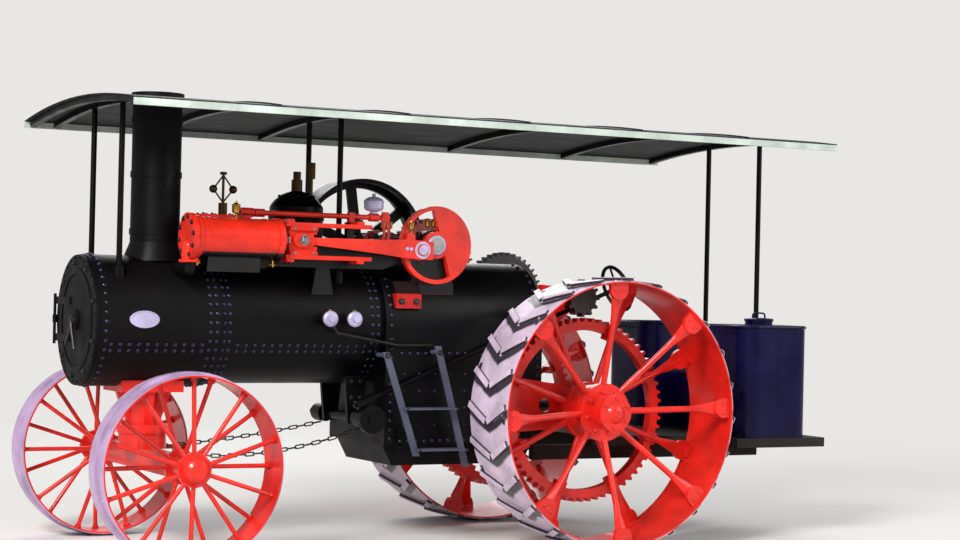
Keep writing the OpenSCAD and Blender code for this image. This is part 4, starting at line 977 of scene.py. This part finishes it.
def canopy_details():
    """Screws along the pale edge strips, and battens over the joints of the roof."""
    bm = bmesh.new()
    screw_x, screw_y, screw_z = ROOF_X[0] + 0.08, ROOF_HALF - 0.0005, ROOF_Z - 0.019
    screw_pitch = 0.2
    for side in (-1, 1):
        for i in range(24):
            rivet(bm, at(screw_x + i * screw_pitch, side * screw_y, screw_z), (0, side, 0), 0.005)
    make("edge_screws", bm, EDGE_PAINT, "chassis")
    # The battens follow the arch, on top of its boards of 6 mm
    arch_r = (ROOF_HALF ** 2 + ROOF_RISE ** 2) / (2 * ROOF_RISE)
    arch_z = ROOF_Z + ROOF_RISE - arch_r
    half = math.asin((ROOF_HALF - 0.03) / arch_r)
    section = ((-0.02, 0), (-0.016, 0.008), (0.016, 0.008), (0.02, 0))
    steps = 24
    bm = bmesh.new()
    for x in (-0.9, -0.1, 0.7, 1.5, 2.3):
        rows = []
        for i in range(steps + 1):
            a = -half + 2 * half * i / steps
            out = Vector((0, math.sin(a), math.cos(a)))
            foot = at(x, 0, arch_z) + out * (arch_r + 0.006)
            rows.append([bm.verts.new(foot + AHEAD * dx + out * h) for dx, h in section])
        skin(bm, rows, closed=False)
        close_ends(bm, rows)
    make("roof_battens", bm, ROOF_BOARDS, "chassis")


def backhead_details():
    """Dial, rim, marks and needle of the pressure gauge, and the nuts of the water gauge."""
    face = FIREBOX_X[0]
    dial = at(face - 0.0505, 0, 1.62)
    bm = bmesh.new()
    turned(bm, dial, BACK, [(0.060, -0.002), (0.060, 0.001), (0, 0.001)], 40)
    make("gauge_dial", bm, DIAL, "chassis")
    bm = bmesh.new()
    band(bm, dial, BACK, 0.060, 0.071, 0.007, 40)
    for z in (1.38, 1.50):
        turned(bm, at(face - 0.061, 0.18, z), BACK, [(0.018, -0.004), (0.018, 0.012), (0, 0.012)], 6)
    make("gauge_rim", bm, BRASS, "chassis")
    bm = bmesh.new()
    # Eleven marks over three quarters of a turn, without figures
    for k in range(11):
        a = math.radians(225 - 27 * k)
        out = Vector((0, -math.cos(a), math.sin(a)))
        tube(bm, [dial + out * reach + BACK * 0.0015 for reach in (0.044, 0.054)], 0.0012, 4)
    tube(bm, [dial + Vector((-0.002, 0.012, -0.012)), dial + Vector((-0.002, -0.03, 0.03))], 0.0016, 4)
    make("gauge_needle", bm, SMOKEBOX_PAINT, "chassis")


def fire_door_fittings():
    """Forged strap hinges, the air register, the rivets of the inner plate and the latch's knob."""
    face = FIREBOX_X[0] - 0.022
    hinge_x, door_z = face - 0.001, 1.145
    register = [(0.048, -0.001), (0.048, 0.004), (0.042, 0.006), (0.012, 0.006), (0.010, 0.014), (0, 0.015)]
    knob = [(0.009, -0.004), (0.016, 0.002), (0.018, 0.010), (0.012, 0.018), (0, 0.021)]
    bm = bmesh.new()
    for z in (door_z - 0.080, door_z + 0.080):
        paddle(bm, at(hinge_x, 0.190, z), at(hinge_x, -0.120, z), UP, (0.020, 0.006), (0.010, 0.004))
        for y in (0.140, 0.040, -0.060):
            rivet(bm, at(face - 0.005, y, z), BACK, 0.008)
    ring(bm, at(face, 0, door_z), BACK, 8, 0.100, rivet, 0.007, math.pi / 8)
    turned(bm, at(face, 0, door_z), BACK, register, 32)
    turned(bm, at(FIREBOX_X[0] - 0.070, -0.150, door_z), BACK, knob, 20)
    make("fire_door_fittings", bm, OILY_STEEL, "fire_door")


def bracket_bolts():
    """Bolts of the ladder's stays and treads, the front bolster and the steering roller's hangers."""
    bm = bmesh.new()
    for x, z in ((1.340, 1.17), (0.985, 1.19)):
        bolt(bm, at(x, 0.512, z), LEFT, 0.012)
    for x, z in ((0.822, 0.600), (1.142, 0.600), (0.893, 0.850), (1.231, 0.850)):
        bolt(bm, at(x, 0.590, z), LEFT, 0.006)
    for side in (-1, 1):
        for dx in (-0.07, 0.07):
            bolt(bm, at(WHEELBASE + dx, side * 0.10, FRONT_Z + 0.0605), UP, 0.012)
        for x in (1.37, 1.43):
            for z in (0.90, 1.0):
                bolt(bm, at(x, side * 0.194, z), (0, side, 0), 0.010)
    make("bracket_bolts", bm, OILY_STEEL, "chassis")


boiler_rivets()
boiler_fittings()
smokebox_plate()
smokebox_door_details()
cylinder_details()
oil_pot_and_bonnets()
bearing_nuts()
crosshead_details()
rod_details()
wheel_details()
for chain in chain_links():
    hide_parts("steering_chains")
tank_details()
tool_box_fittings()
canopy_details()
backhead_details()
fire_door_fittings()
bracket_bolts()


# Studio

BACKDROP = "e9e7e4"
LAMP_TARGET = Vector((0, 0, 1.0))
# Name, place, side in metres and watts
LAMPS = (("key", (10, 8, 9), 4, 2200), ("fill", (-8, 8, 6), 8, 620), ("back", (-4, -10, 8), 8, 700))


def add_floor():
    """Pale floor. Far away it takes on the colour of the backdrop, so no line shows where it ends."""
    half, fade_from, fade_to = 90.0, 4.0, 11.0
    mesh = bpy.data.meshes.new("floor")
    corners = [(-half, -half, 0), (half, -half, 0), (half, half, 0), (-half, half, 0)]
    mesh.from_pydata(corners, [], [(0, 1, 2, 3)])
    floor = bpy.data.objects.new("floor", mesh)
    scene.collection.objects.link(floor)
    mat, tree, bsdf, where = new_material("pale_floor")
    bsdf.inputs["Base Color"].default_value = srgb("dedcd8")
    bsdf.inputs["Roughness"].default_value = 0.9
    far = node(tree, "VectorMath", {0: where}, operation="LENGTH").outputs["Value"]
    fade = node(tree, "MapRange", {"Value": far, "From Min": fade_from, "From Max": fade_to}).outputs[0]
    seen = node(tree, "LightPath").outputs["Is Camera Ray"]
    share = node(tree, "Math", {0: fade, 1: seen}, operation="MULTIPLY").outputs[0]
    glow = node(tree, "Emission", {"Color": srgb(BACKDROP), "Strength": 1.0}).outputs[0]
    both = node(tree, "MixShader", {0: share, 1: bsdf.outputs[0], 2: glow}).outputs[0]
    tree.links.new(both, tree.nodes["Material Output"].inputs["Surface"])
    mesh.materials.append(mat)


def add_world():
    """Soft light from all round; the camera sees the pale backdrop in its place."""
    world = bpy.data.worlds.new("world")
    world.use_nodes = True
    tree = world.node_tree
    light = node(tree, "Background", {"Color": srgb("f1f1f4"), "Strength": 0.5}).outputs[0]
    backdrop = node(tree, "Background", {"Color": srgb(BACKDROP), "Strength": 1.0}).outputs[0]
    seen = node(tree, "LightPath").outputs["Is Camera Ray"]
    both = node(tree, "MixShader", {0: seen, 1: light, 2: backdrop}).outputs[0]
    tree.links.new(both, tree.nodes["World Output"].inputs["Surface"])
    scene.world = world


def add_lamps():
    """Three soft square lamps that point at the machine's middle."""
    for name, place, size, power in LAMPS:
        lamp = bpy.data.lights.new(name, "AREA")
        lamp.size = size
        lamp.energy = power
        obj = bpy.data.objects.new(name, lamp)
        obj.location = place
        obj.rotation_euler = (LAMP_TARGET - Vector(place)).to_track_quat("-Z", "Y").to_euler()
        scene.collection.objects.link(obj)


scene.view_settings.view_transform = "Standard"
add_camera()
add_floor()
add_world()
add_lamps()
